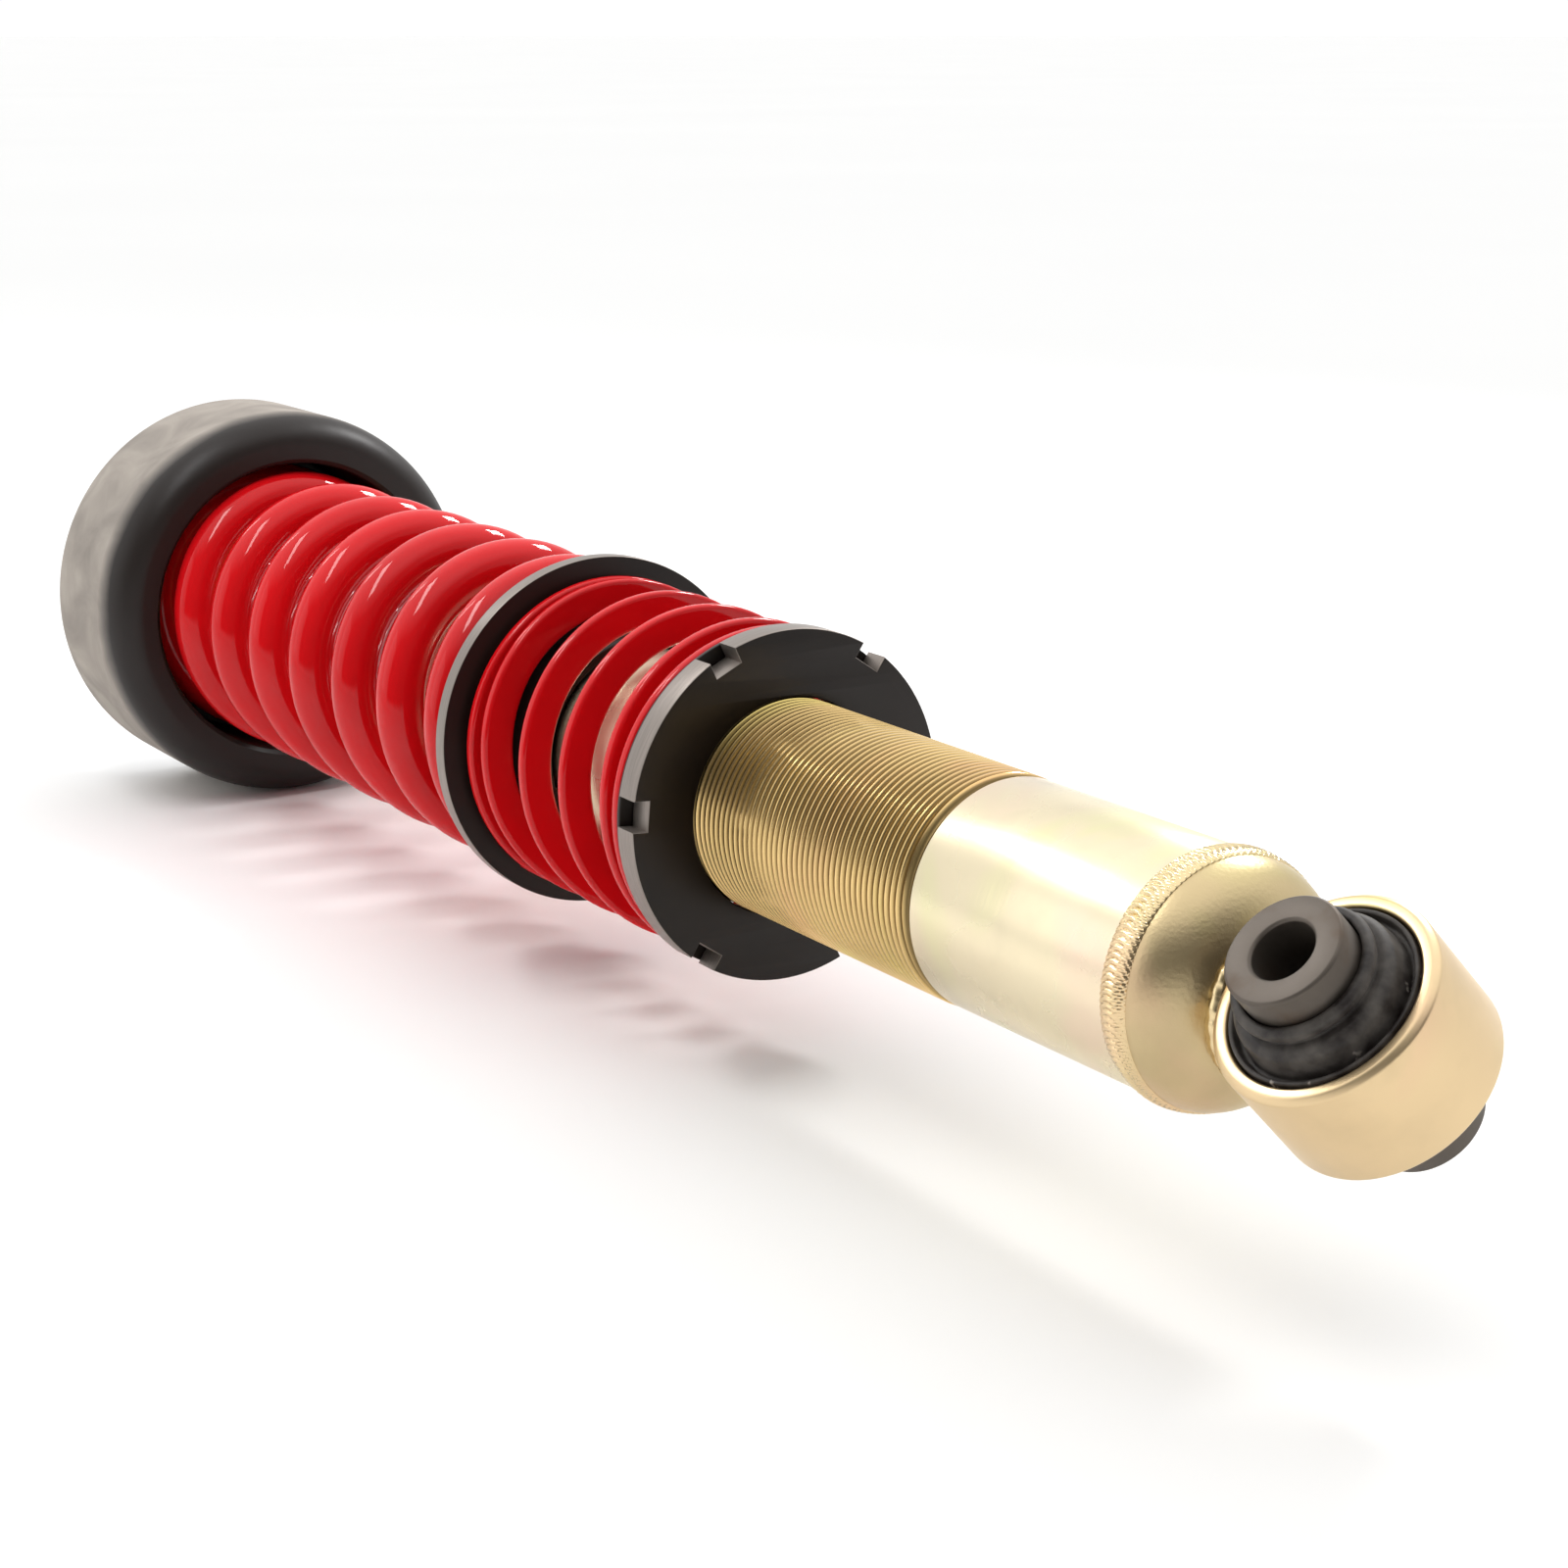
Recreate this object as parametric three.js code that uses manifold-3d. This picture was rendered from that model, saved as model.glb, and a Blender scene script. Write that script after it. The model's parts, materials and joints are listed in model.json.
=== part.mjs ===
// Coilover damper: a threaded twin-tube damper carrying a main spring and a flat-wire helper
// spring, with a rubber top mount at one end and a rubber-bushed eye at the other.
// Units are millimetres. The shock axis is +X, from the top mount's face to the eye; +Z is up.
import * as THREE from 'three';
import Module from 'manifold-3d';
import { mergeVertices } from 'three/addons/utils/BufferGeometryUtils.js';

const wasm = await Module();
wasm.setup();

// ---- driving dimensions ---------------------------------------------------------------------
const GAP = 0.3; // assembly gap between neighbouring pieces
const SIDES = 32; // sides of a turned piece that shows
const HIDDEN_SIDES = 20; // and of one that doesn't

const EYE_X = 512; // mount face to eye centre
const EYE_TURN = THREE.MathUtils.degToRad(44); // eye axis leans this far from vertical

const CUP_RADIUS = 58.5;
const CUP_FRONT_X = 54;
const CUP_FLOOR_X = 16;
const CUP_HOLE_RADIUS = 44.2;
const PLATE_THICKNESS = 3.6;
const PLATE_RADIUS = 53;
const STUD_CIRCLE_RADIUS = 40;
const STUD_LENGTH = 22;
const STUD_RADIUS = 4;

const ROD_RADIUS = 10;
const ROD_THREAD_RADIUS = 6;
const ROD_SHOULDER_X = 24;
const PISTON_SHOULDER_X = 206;

const SPRING_MEAN_RADIUS = 35.1;
const SPRING_WIRE_RADIUS = 6.3;
const SPRING_PITCH = 27.9;
const SPRING_END_TURNS = 0.55; // turns lost at each closed end
const SPRING_END_ANGLE = 76.7; // where the lower tip lies round the axis, from +Y

const RING_X = 236.9; // spacer ring's upper face
const RING_THICKNESS = 4;
const RING_RADIUS = 44.4;

const HELPER_OUTER_RADIUS = 40;
const HELPER_WIDTH = 8;
const HELPER_THICKNESS = 3;
const HELPER_PITCH = 19.5;
const HELPER_CLOSED_PITCH = 3.3;
const HELPER_UPPER_CLOSED = 1.6; // closed turns at the spacer ring
const HELPER_LOWER_CLOSED = 1.0; // closed turns at the perch
const HELPER_START_ANGLE = -128.5;

const COLLAR_X = 320.9; // collar's upper face
const COLLAR_THICKNESS = 6.9;
const COLLAR_RADIUS = 41.2;
const COLLAR_SLOTS = 6;
const COLLAR_SLOT_WIDTH = 7;
const COLLAR_SLOT_DEPTH = 4;
const COLLAR_SLOT_ANGLE = 55.3;
const WASHER_THICKNESS = 1.2;

const TUBE_RADIUS = 25;
const TUBE_BORE_RADIUS = 22.3;
const TUBE_TOP_X = 180;
const TUBE_END_X = 473.3;
const CYLINDER_RADIUS = 18;
const CYLINDER_BORE_RADIUS = 16;
const CYLINDER_X = 199.8;
const BASE_VALVE_X = 462; // where the inner cylinder ends on the base valve

const DOME_X = 475.7;
const DOME_HEIGHT = 15.3;
const EYE_RADIUS = 22.3;
const EYE_BORE_RADIUS = 19;
const EYE_HALF_LENGTH = 13;
const SLEEVE_RADIUS = 11.6;
const SLEEVE_BORE_RADIUS = 6.15;
const SLEEVE_HALF_LENGTH = 27.2;

// ---- finishes -------------------------------------------------------------------------------
const finish = (color, roughness, metalness) =>
  new THREE.MeshStandardMaterial({ color, roughness, metalness });

const RED_COAT = finish(0xc8161c, 0.25, 0.1);
const GOLD_ZINC = finish(0xd8c48a, 0.35, 0.9);
const BLACK_ANODISED = finish(0x1d1b1a, 0.4, 0.6);
const RUBBER = finish(0x262524, 0.8, 0);
const ZINC_STEEL = finish(0x9a9b9d, 0.35, 0.9);
const CHROME = finish(0xd6d9dc, 0.1, 1);
const BUSH_STEEL = finish(0x6d6a66, 0.45, 0.85);
const SINTERED = finish(0x55565a, 0.5, 0.8);
const YELLOW_FOAM = finish(0xc9a44a, 0.9, 0);
const SEAL_BAND = finish(0x3c5a50, 0.6, 0);

// ---- shape helpers --------------------------------------------------------------------------
const assembly = new THREE.Group();

function addPiece(name, geometry, material) {
  const mesh = new THREE.Mesh(geometry, material);
  mesh.name = name;
  assembly.add(mesh);
  return mesh;
}

// Turns a profile of [x along the axis, radius] pairs. A hollow piece's profile goes along its
// bore towards +x and back along its outside; a solid one's starts and ends on the axis.
function lathed(profile, sides) {
  const points = profile.map(([x, radius]) => new THREE.Vector2(radius, x)).reverse();
  if (points[0].x > 0) points.push(points[0].clone());
  return new THREE.LatheGeometry(points, sides);
}

function turned(profile, sides = SIDES) {
  return lathed(profile, sides).rotateZ(-Math.PI / 2);
}

// The same about the eye's axis; the profile's x runs along the eye from its middle.
function turnedAboutEye(profile, sides = SIDES) {
  return lathed(profile, sides)
    .rotateX(Math.PI / 2 + EYE_TURN)
    .translate(EYE_X, 0, 0);
}

function ring(startX, endX, innerRadius, outerRadius, chamfer = 0) {
  return [
    [startX, innerRadius],
    [endX, innerRadius],
    [endX, outerRadius - chamfer],
    [endX - chamfer, outerRadius],
    [startX + chamfer, outerRadius],
    [startX, outerRadius - chamfer],
  ].filter(([x, radius], i, all) => {
    const next = all[(i + 1) % all.length];
    return x !== next[0] || radius !== next[1];
  });
}

// Points of an arc in a profile, both ends included; angles in degrees, 0 along +x.
function arc(centreX, centreRadius, radiusX, radiusY, from, to, steps) {
  return Array.from({ length: steps + 1 }, (_, i) => {
    const angle = THREE.MathUtils.degToRad(from + ((to - from) * i) / steps);
    return [centreX + radiusX * Math.cos(angle), centreRadius + radiusY * Math.sin(angle)];
  });
}

function addHiddenRing(name, material, startX, endX, innerRadius, outerRadius, chamfer = 0) {
  const profile = ring(startX, endX, innerRadius, outerRadius, chamfer);
  addPiece(name, turned(profile, HIDDEN_SIDES), material);
}

// A flat shape drawn across the axis, pushed along +X from startX.
function pushedAlongAxis(shape, startX, length, bevel = 0) {
  const geometry = new THREE.ExtrudeGeometry(shape, {
    depth: length - 2 * bevel,
    bevelEnabled: bevel > 0,
    bevelThickness: bevel,
    bevelSize: bevel,
    bevelOffset: -bevel,
    bevelSegments: 1,
    curveSegments: HIDDEN_SIDES / 2,
    steps: 1,
  });
  geometry.rotateY(Math.PI / 2);
  geometry.rotateX(Math.PI / 2);
  geometry.translate(startX + bevel, 0, 0);
  return geometry;
}

function roundHole(shape, radius, x = 0, y = 0) {
  const hole = new THREE.Path();
  hole.absarc(x, y, radius, 0, 2 * Math.PI, true);
  shape.holes.push(hole);
}

function hexagon(acrossFlats, boreRadius) {
  const shape = new THREE.Shape();
  for (let corner = 0; corner < 6; corner += 1) {
    const angle = (corner * Math.PI) / 3;
    const radius = acrossFlats / Math.sqrt(3);
    const x = radius * Math.cos(angle);
    const y = radius * Math.sin(angle);
    if (corner === 0) shape.moveTo(x, y);
    else shape.lineTo(x, y);
  }
  shape.closePath();
  roundHole(shape, boreRadius);
  return shape;
}

// A helix about the X axis; distance(turns) says how far along the axis it has gone.
class CoilPath extends THREE.Curve {
  constructor(radius, turns, startX, startAngle, distance) {
    super();
    this.arcLengthDivisions = 600;
    Object.assign(this, { radius, turns, startX, startAngle, distance });
  }

  radial(t) {
    const angle = THREE.MathUtils.degToRad(this.startAngle) + 2 * Math.PI * this.turns * t;
    return new THREE.Vector3(0, Math.cos(angle), Math.sin(angle));
  }

  getPoint(t, target = new THREE.Vector3()) {
    target.copy(this.radial(t)).multiplyScalar(this.radius);
    target.x = this.startX + this.distance(this.turns * t);
    return target;
  }

  // Frames that keep the wire's section square to the axis, so a flat wire stays flat.
  computeFrenetFrames(segments) {
    const frames = { tangents: [], normals: [], binormals: [] };
    for (let i = 0; i <= segments; i += 1) {
      const normal = this.radial(this.getUtoTmapping(i / segments));
      const tangent = this.getTangentAt(i / segments);
      frames.tangents.push(tangent);
      frames.normals.push(normal);
      frames.binormals.push(new THREE.Vector3().crossVectors(tangent, normal).normalize());
    }
    return frames;
  }
}

function coil(section, path, stepsPerTurn) {
  return new THREE.ExtrudeGeometry(section, {
    steps: Math.round(path.turns * stepsPerTurn),
    extrudePath: path,
    curveSegments: 5,
  });
}

function toManifold(geometry) {
  const bare = geometry.clone();
  bare.deleteAttribute('normal');
  bare.deleteAttribute('uv');
  const merged = mergeVertices(bare, 1e-4);
  const mesh = new wasm.Mesh({
    numProp: 3,
    vertProperties: new Float32Array(merged.attributes.position.array),
    triVerts: new Uint32Array(merged.index.array),
  });
  mesh.merge();
  return new wasm.Manifold(mesh);
}

function fromManifold(solid) {
  const mesh = solid.getMesh();
  const geometry = new THREE.BufferGeometry();
  geometry.setAttribute('position', new THREE.BufferAttribute(mesh.vertProperties, 3));
  geometry.setIndex(new THREE.BufferAttribute(mesh.triVerts, 1));
  geometry.computeVertexNormals();
  return geometry;
}

function cut(geometry, ...tools) {
  const whole = toManifold(geometry);
  return fromManifold(tools.reduce((solid, tool) => solid.subtract(toManifold(tool)), whole));
}

// ---- top mount ------------------------------------------------------------------------------
function isolatorCup() {
  const back = PLATE_THICKNESS + GAP;
  return turned([
    [-2.2, 9.3],
    [20.1, 9.3],
    [20.1, 23],
    [CUP_FLOOR_X, 24],
    [CUP_FLOOR_X, CUP_HOLE_RADIUS],
    [CUP_FRONT_X - 1.5, CUP_HOLE_RADIUS],
    [CUP_FRONT_X, CUP_HOLE_RADIUS + 1.5],
    ...arc(CUP_FRONT_X - 12, CUP_RADIUS - 9, 12, 9, 0, 90, 7),
    [back + 1.5, CUP_RADIUS],
    [back, CUP_RADIUS - 1.5],
    [back, 15.6],
    [-2.2, 15.6],
  ]);
}

function mountPlate() {
  const shape = new THREE.Shape();
  shape.absarc(0, 0, PLATE_RADIUS, 0, 2 * Math.PI, false);
  roundHole(shape, 16);
  return pushedAlongAxis(shape, 0, PLATE_THICKNESS, 0.6);
}

function mountStud() {
  return turned([
    [-GAP, 0],
    [-GAP, STUD_RADIUS + 1.8],
    [-1.6, STUD_RADIUS + 1.6],
    [-1.9, STUD_RADIUS],
    [-STUD_LENGTH + 1, STUD_RADIUS],
    [-STUD_LENGTH, STUD_RADIUS - 1],
    [-STUD_LENGTH, 0],
  ], 20);
}

addPiece('isolator_cup', isolatorCup(), RUBBER);
addPiece('mount_plate', mountPlate(), ZINC_STEEL);
for (let i = 0; i < 3; i += 1) {
  const angle = THREE.MathUtils.degToRad(90 + 120 * i);
  const stud = addPiece(`mount_stud_${i + 1}`, mountStud(), ZINC_STEEL);
  stud.position.set(0, STUD_CIRCLE_RADIUS * Math.cos(angle), STUD_CIRCLE_RADIUS * Math.sin(angle));
}
addHiddenRing('crush_sleeve', ZINC_STEEL, -2.2, 20.1, ROD_THREAD_RADIUS + GAP, 9);
addHiddenRing('upper_washer', ZINC_STEEL, -5.2, -2.5, ROD_THREAD_RADIUS + GAP, 15, 0.5);
addHiddenRing('lower_washer', ZINC_STEEL, 20.4, 23.7, ROD_THREAD_RADIUS + GAP, 22, 0.5);
addPiece('rod_nut', pushedAlongAxis(hexagon(19, ROD_THREAD_RADIUS + GAP), -16, 10.5, 0.6), ZINC_STEEL);

// ---- rod, piston and bump stop --------------------------------------------------------------
function pistonRod() {
  return turned([
    [249, 0],
    [249, ROD_THREAD_RADIUS - 1],
    [248, ROD_THREAD_RADIUS],
    [PISTON_SHOULDER_X, ROD_THREAD_RADIUS],
    [PISTON_SHOULDER_X, ROD_RADIUS],
    [ROD_SHOULDER_X, ROD_RADIUS],
    [ROD_SHOULDER_X, ROD_THREAD_RADIUS],
    [-19, ROD_THREAD_RADIUS],
    [-20, ROD_THREAD_RADIUS - 1],
    [-20, 0],
  ], 32);
}

function bumpStop() {
  const waves = [22, 19, 22, 17.5, 20, 15.5, 17.5];
  const step = 46 / waves.length;
  return turned([
    [ROD_SHOULDER_X, ROD_RADIUS + GAP],
    [70, ROD_RADIUS + GAP],
    [70, 13],
    ...waves.map((radius, i) => [ROD_SHOULDER_X + step * (i + 0.5), radius]).reverse(),
    [ROD_SHOULDER_X, 20],
  ], 28);
}

function piston() {
  const start = PISTON_SHOULDER_X + 8.9;
  return turned([
    [start, 6.3],
    [start + 17, 6.3],
    [start + 17, 14.8],
    [start + 16.4, 15.4],
    [start + 12, 15.4],
    [start + 12, 14.2],
    [start + 5, 14.2],
    [start + 5, 15.4],
    [start + 0.6, 15.4],
    [start, 14.8],
  ], HIDDEN_SIDES);
}

const STACK_X = PISTON_SHOULDER_X + GAP;
addPiece('piston_rod', pistonRod(), CHROME);
addPiece('bump_stop', bumpStop(), YELLOW_FOAM);
addHiddenRing('rebound_stop', SEAL_BAND, STACK_X, STACK_X + 6, 6.3, 14, 0.8);
addHiddenRing('rebound_shims', ZINC_STEEL, STACK_X + 6.3, STACK_X + 8.3, 6.3, 13);
addPiece('piston', piston(), SINTERED);
addHiddenRing('piston_band', SEAL_BAND, STACK_X + 13.9, STACK_X + 20.3, 14.5, 15.7);
addHiddenRing('compression_shims', ZINC_STEEL, STACK_X + 25.9, STACK_X + 27.9, 6.3, 13);
addPiece('piston_nut', pushedAlongAxis(hexagon(18, 6.3), STACK_X + 28.2, 8.5, 0.5), ZINC_STEEL);

// ---- springs and their seats ----------------------------------------------------------------
function upperSpringSeat() {
  const inner = 26;
  const lip = SPRING_MEAN_RADIUS - SPRING_WIRE_RADIUS - 0.6;
  return turned([
    [CUP_FLOOR_X + GAP, inner],
    [CUP_FLOOR_X + 8, inner],
    [CUP_FLOOR_X + 8, lip - 1],
    [CUP_FLOOR_X + 7, lip],
    [CUP_FLOOR_X + 2.8, lip],
    [CUP_FLOOR_X + 2.8, CUP_HOLE_RADIUS - 0.6],
    [CUP_FLOOR_X + GAP, CUP_HOLE_RADIUS - 0.6],
  ]);
}

// Distance along a spring with closed ends: no pitch at the tips, full pitch between.
function closedEndDistance(turnsFromTip, pitch, endTurns) {
  const ramp = THREE.MathUtils.clamp((turnsFromTip - endTurns + 0.25) / 0.5, 0, 1);
  const onRamp = 0.5 * ramp * ramp * ramp * (2 - ramp);
  const beyond = Math.max(turnsFromTip - endTurns - 0.25, 0);
  return pitch * (0.5 * onRamp + beyond);
}

function mainSpring() {
  const startX = CUP_FLOOR_X + 2.8 + GAP + SPRING_WIRE_RADIUS;
  const span = RING_X - GAP - SPRING_WIRE_RADIUS - startX;
  const turns = span / SPRING_PITCH + 2 * SPRING_END_TURNS;
  const distance = (turn) => {
    const half = turns / 2;
    const near = Math.min(turn, turns - turn);
    const fromTip = (closedEndDistance(near, SPRING_PITCH, SPRING_END_TURNS) * span)
      / (2 * closedEndDistance(half, SPRING_PITCH, SPRING_END_TURNS));
    return turn <= half ? fromTip : span - fromTip;
  };
  const startAngle = SPRING_END_ANGLE - 360 * turns;
  const path = new CoilPath(SPRING_MEAN_RADIUS, turns, startX, startAngle, distance);
  const wire = new THREE.Shape();
  wire.absarc(0, 0, SPRING_WIRE_RADIUS, 0, 2 * Math.PI, false);
  return coil(wire, path, 20);
}

function helperSpring() {
  const startX = RING_X + RING_THICKNESS + GAP + HELPER_THICKNESS / 2;
  const endX = COLLAR_X - GAP - WASHER_THICKNESS - GAP - HELPER_THICKNESS / 2;
  const closedTurns = HELPER_UPPER_CLOSED + HELPER_LOWER_CLOSED;
  const openTurns = (endX - startX - HELPER_CLOSED_PITCH * closedTurns) / HELPER_PITCH;
  const turns = closedTurns + openTurns;
  const distance = (turn) => {
    const open = THREE.MathUtils.clamp(turn - HELPER_UPPER_CLOSED, 0, openTurns);
    return HELPER_PITCH * open + HELPER_CLOSED_PITCH * (turn - open);
  };
  const meanRadius = HELPER_OUTER_RADIUS - HELPER_WIDTH / 2;
  const path = new CoilPath(meanRadius, turns, startX, HELPER_START_ANGLE, distance);
  const w = HELPER_WIDTH / 2;
  const t = HELPER_THICKNESS / 2;
  const edge = 0.9; // rounding of the outer edges
  const wire = new THREE.Shape();
  wire.moveTo(-w, -t);
  wire.lineTo(w - edge, -t);
  wire.lineTo(w, -t + edge);
  wire.lineTo(w, t - edge);
  wire.lineTo(w - edge, t);
  wire.lineTo(-w, t);
  wire.closePath();
  return coil(wire, path, 20);
}

function spacerRing() {
  const bore = TUBE_RADIUS + 0.6;
  const spigot = SPRING_MEAN_RADIUS - SPRING_WIRE_RADIUS - 0.6;
  const front = RING_X + RING_THICKNESS;
  return turned([
    [RING_X - 11, bore],
    [front + 21, bore],
    [front + 21, spigot],
    [front, spigot],
    [front, RING_RADIUS - 0.4],
    [front - 0.4, RING_RADIUS],
    [RING_X + 0.4, RING_RADIUS],
    [RING_X, RING_RADIUS - 0.4],
    [RING_X, spigot],
    [RING_X - 10, spigot],
    [RING_X - 11, spigot - 1],
  ]);
}

addPiece('upper_spring_seat', upperSpringSeat(), BLACK_ANODISED);
addPiece('main_spring', mainSpring(), RED_COAT);
addPiece('spacer_ring', spacerRing(), BLACK_ANODISED);
addPiece('helper_spring', helperSpring(), RED_COAT);
const perchWasher = ring(
  COLLAR_X - GAP - WASHER_THICKNESS,
  COLLAR_X - GAP,
  TUBE_RADIUS + 0.6,
  HELPER_OUTER_RADIUS + 0.5,
);
addPiece('perch_washer', turned(perchWasher), BLACK_ANODISED);

// ---- threaded collar ------------------------------------------------------------------------
function threadedCollar() {
  const shape = new THREE.Shape();
  const halfWidth = Math.asin(COLLAR_SLOT_WIDTH / 2 / COLLAR_RADIUS);
  const floorRadius = COLLAR_RADIUS - COLLAR_SLOT_DEPTH;
  for (let slot = 0; slot < COLLAR_SLOTS; slot += 1) {
    const middle = THREE.MathUtils.degToRad(COLLAR_SLOT_ANGLE + (slot * 360) / COLLAR_SLOTS);
    const next = middle + (2 * Math.PI) / COLLAR_SLOTS;
    const outward = new THREE.Vector2(Math.cos(middle), Math.sin(middle));
    const across = new THREE.Vector2(-outward.y, outward.x).multiplyScalar(COLLAR_SLOT_WIDTH / 2);
    const floor = outward.multiplyScalar(floorRadius);
    if (slot === 0) shape.moveTo(floor.x - across.x, floor.y - across.y);
    else shape.lineTo(floor.x - across.x, floor.y - across.y);
    shape.lineTo(floor.x + across.x, floor.y + across.y);
    shape.absarc(0, 0, COLLAR_RADIUS, middle + halfWidth, next - halfWidth, false);
  }
  shape.closePath();
  const bore = new THREE.Path();
  for (let third = 3; third > 0; third -= 1) {
    const from = (third * 2 * Math.PI) / 3;
    bore.absarc(0, 0, TUBE_RADIUS + GAP, from, from - (2 * Math.PI) / 3, true);
  }
  shape.holes.push(bore);
  const geometry = new THREE.ExtrudeGeometry(shape, {
    depth: COLLAR_THICKNESS,
    bevelEnabled: false,
    curveSegments: 8,
    steps: 1,
  });
  geometry.rotateY(Math.PI / 2);
  geometry.rotateX(Math.PI / 2);
  geometry.translate(COLLAR_X, 0, 0);
  return geometry;
}

addPiece('threaded_collar', threadedCollar(), BLACK_ANODISED);

// ---- damper tube and what it holds ----------------------------------------------------------
function damperTube() {
  return turned([
    [TUBE_TOP_X, TUBE_BORE_RADIUS],
    [TUBE_END_X, TUBE_BORE_RADIUS],
    [TUBE_END_X, TUBE_RADIUS],
    [TUBE_TOP_X + 1, TUBE_RADIUS],
    [TUBE_TOP_X, TUBE_RADIUS - 1],
  ]);
}

function rodGuide() {
  const start = TUBE_TOP_X + 6.5;
  return turned([
    [start, ROD_RADIUS + GAP],
    [start + 16.5, ROD_RADIUS + GAP],
    [start + 16.5, CYLINDER_BORE_RADIUS - GAP],
    [start + 13, CYLINDER_BORE_RADIUS - GAP],
    [start + 13, TUBE_BORE_RADIUS - GAP],
    [start, TUBE_BORE_RADIUS - GAP],
  ], HIDDEN_SIDES);
}

function baseValve() {
  return turned([
    [BASE_VALVE_X + 7, 0],
    [BASE_VALVE_X + 7, TUBE_BORE_RADIUS - GAP - 4],
    [BASE_VALVE_X + 4, TUBE_BORE_RADIUS - GAP],
    [BASE_VALVE_X + GAP, TUBE_BORE_RADIUS - GAP],
    [BASE_VALVE_X + GAP, CYLINDER_BORE_RADIUS - GAP],
    [BASE_VALVE_X - 6, CYLINDER_BORE_RADIUS - GAP],
    [BASE_VALVE_X - 7, CYLINDER_BORE_RADIUS - 1.3],
    [BASE_VALVE_X - 7, 0],
  ], HIDDEN_SIDES);
}

function capWeld() {
  const edge = TUBE_RADIUS + GAP;
  const middle = (TUBE_END_X + DOME_X) / 2;
  return turned([
    [TUBE_END_X + GAP, TUBE_BORE_RADIUS + 0.6],
    [DOME_X - GAP, TUBE_BORE_RADIUS + 0.6],
    [DOME_X - GAP, edge],
    ...arc(middle, edge, 2.4, 1.2, 0, 180, 4),
    [TUBE_END_X + GAP, edge],
  ]);
}

function domeProfile(grow) {
  return [
    ...arc(DOME_X, 0, DOME_HEIGHT + grow, TUBE_RADIUS + grow, 0, 90, 8),
    [DOME_X, 0],
  ];
}

function eyeCylinder(radius) {
  const halfLength = EYE_HALF_LENGTH + GAP;
  return turnedAboutEye([
    [halfLength, 0],
    [halfLength, radius],
    [-halfLength, radius],
    [-halfLength, 0],
  ]);
}

function endDome() {
  const shell = turned([
    [DOME_X, TUBE_BORE_RADIUS],
    ...arc(DOME_X, 0, DOME_HEIGHT - 4, TUBE_BORE_RADIUS, 90, 0, 5).slice(1),
    ...arc(DOME_X, 0, DOME_HEIGHT, TUBE_RADIUS, 0, 90, 8),
  ]);
  return cut(shell, eyeCylinder(EYE_RADIUS + GAP));
}

function eyeWeld() {
  const bead = turned([
    [DOME_X + 9, 10.8],
    [DOME_X + 17.5, 10.8],
    [DOME_X + 17.5, 14],
    [DOME_X + 14.5, 16],
    [DOME_X + 9, 18],
  ]);
  return cut(bead, turned(domeProfile(GAP)), eyeCylinder(EYE_RADIUS + GAP));
}

const GLAND_X = TUBE_TOP_X + 0.6;
const GLAND_END_X = TUBE_TOP_X + 6.2;
addPiece('damper_tube', damperTube(), GOLD_ZINC);
addHiddenRing('gland_nut', BLACK_ANODISED, GLAND_X, GLAND_END_X, 12.5, TUBE_BORE_RADIUS - GAP, 0.4);
addHiddenRing('rod_seal', RUBBER, GLAND_X + 0.4, GLAND_END_X, ROD_RADIUS + GAP, 12.2);
addPiece('rod_guide', rodGuide(), SINTERED);
addHiddenRing('inner_cylinder', ZINC_STEEL, CYLINDER_X, BASE_VALVE_X, CYLINDER_BORE_RADIUS, CYLINDER_RADIUS);
addPiece('base_valve', baseValve(), SINTERED);
addPiece('cap_weld', capWeld(), GOLD_ZINC);
addPiece('end_dome', endDome(), GOLD_ZINC);
addPiece('eye_weld', eyeWeld(), GOLD_ZINC);

// ---- lower eye, rubber bush and steel sleeve ------------------------------------------------
function lowerEye() {
  const bevel = 1.2;
  return turnedAboutEye([
    [-EYE_HALF_LENGTH, EYE_BORE_RADIUS],
    [EYE_HALF_LENGTH, EYE_BORE_RADIUS],
    [EYE_HALF_LENGTH, EYE_RADIUS - bevel],
    [EYE_HALF_LENGTH - bevel, EYE_RADIUS],
    [-EYE_HALF_LENGTH + bevel, EYE_RADIUS],
    [-EYE_HALF_LENGTH, EYE_RADIUS - bevel],
  ]);
}

function bushRubber() {
  const inner = SLEEVE_RADIUS + GAP;
  const side = [
    [21.5, inner],
    [21.5, inner + 1.2],
    [18.5, inner + 1.6],
    [17, 16.2],
    [14.5, 17],
    [13.4, EYE_BORE_RADIUS - GAP],
  ];
  return turnedAboutEye([
    ...side,
    ...side.map(([x, radius]) => [-x, radius]).reverse(),
  ]);
}

addPiece('lower_eye', lowerEye(), GOLD_ZINC);
addPiece('bush_rubber', bushRubber(), RUBBER);
addPiece(
  'bush_sleeve',
  turnedAboutEye([
    [-SLEEVE_HALF_LENGTH, SLEEVE_BORE_RADIUS],
    [SLEEVE_HALF_LENGTH, SLEEVE_BORE_RADIUS],
    [SLEEVE_HALF_LENGTH, SLEEVE_RADIUS - 0.5],
    [SLEEVE_HALF_LENGTH - 0.5, SLEEVE_RADIUS],
    [-SLEEVE_HALF_LENGTH + 0.5, SLEEVE_RADIUS],
    [-SLEEVE_HALF_LENGTH, SLEEVE_RADIUS - 0.5],
  ]),
  BUSH_STEEL,
);

export default assembly;
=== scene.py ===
"""Coilover damper: its finished pieces, their finishes and the studio round them.

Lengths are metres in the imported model's frame: +X runs along the shock from the top mount to the
lower eye, and +Z is up. Each operator builds one piece, or one group of like pieces."""
import json
import math

import bmesh
import bpy
from bpy.props import FloatProperty, FloatVectorProperty, IntProperty, PointerProperty
from mathutils import Matrix, Vector


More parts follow.
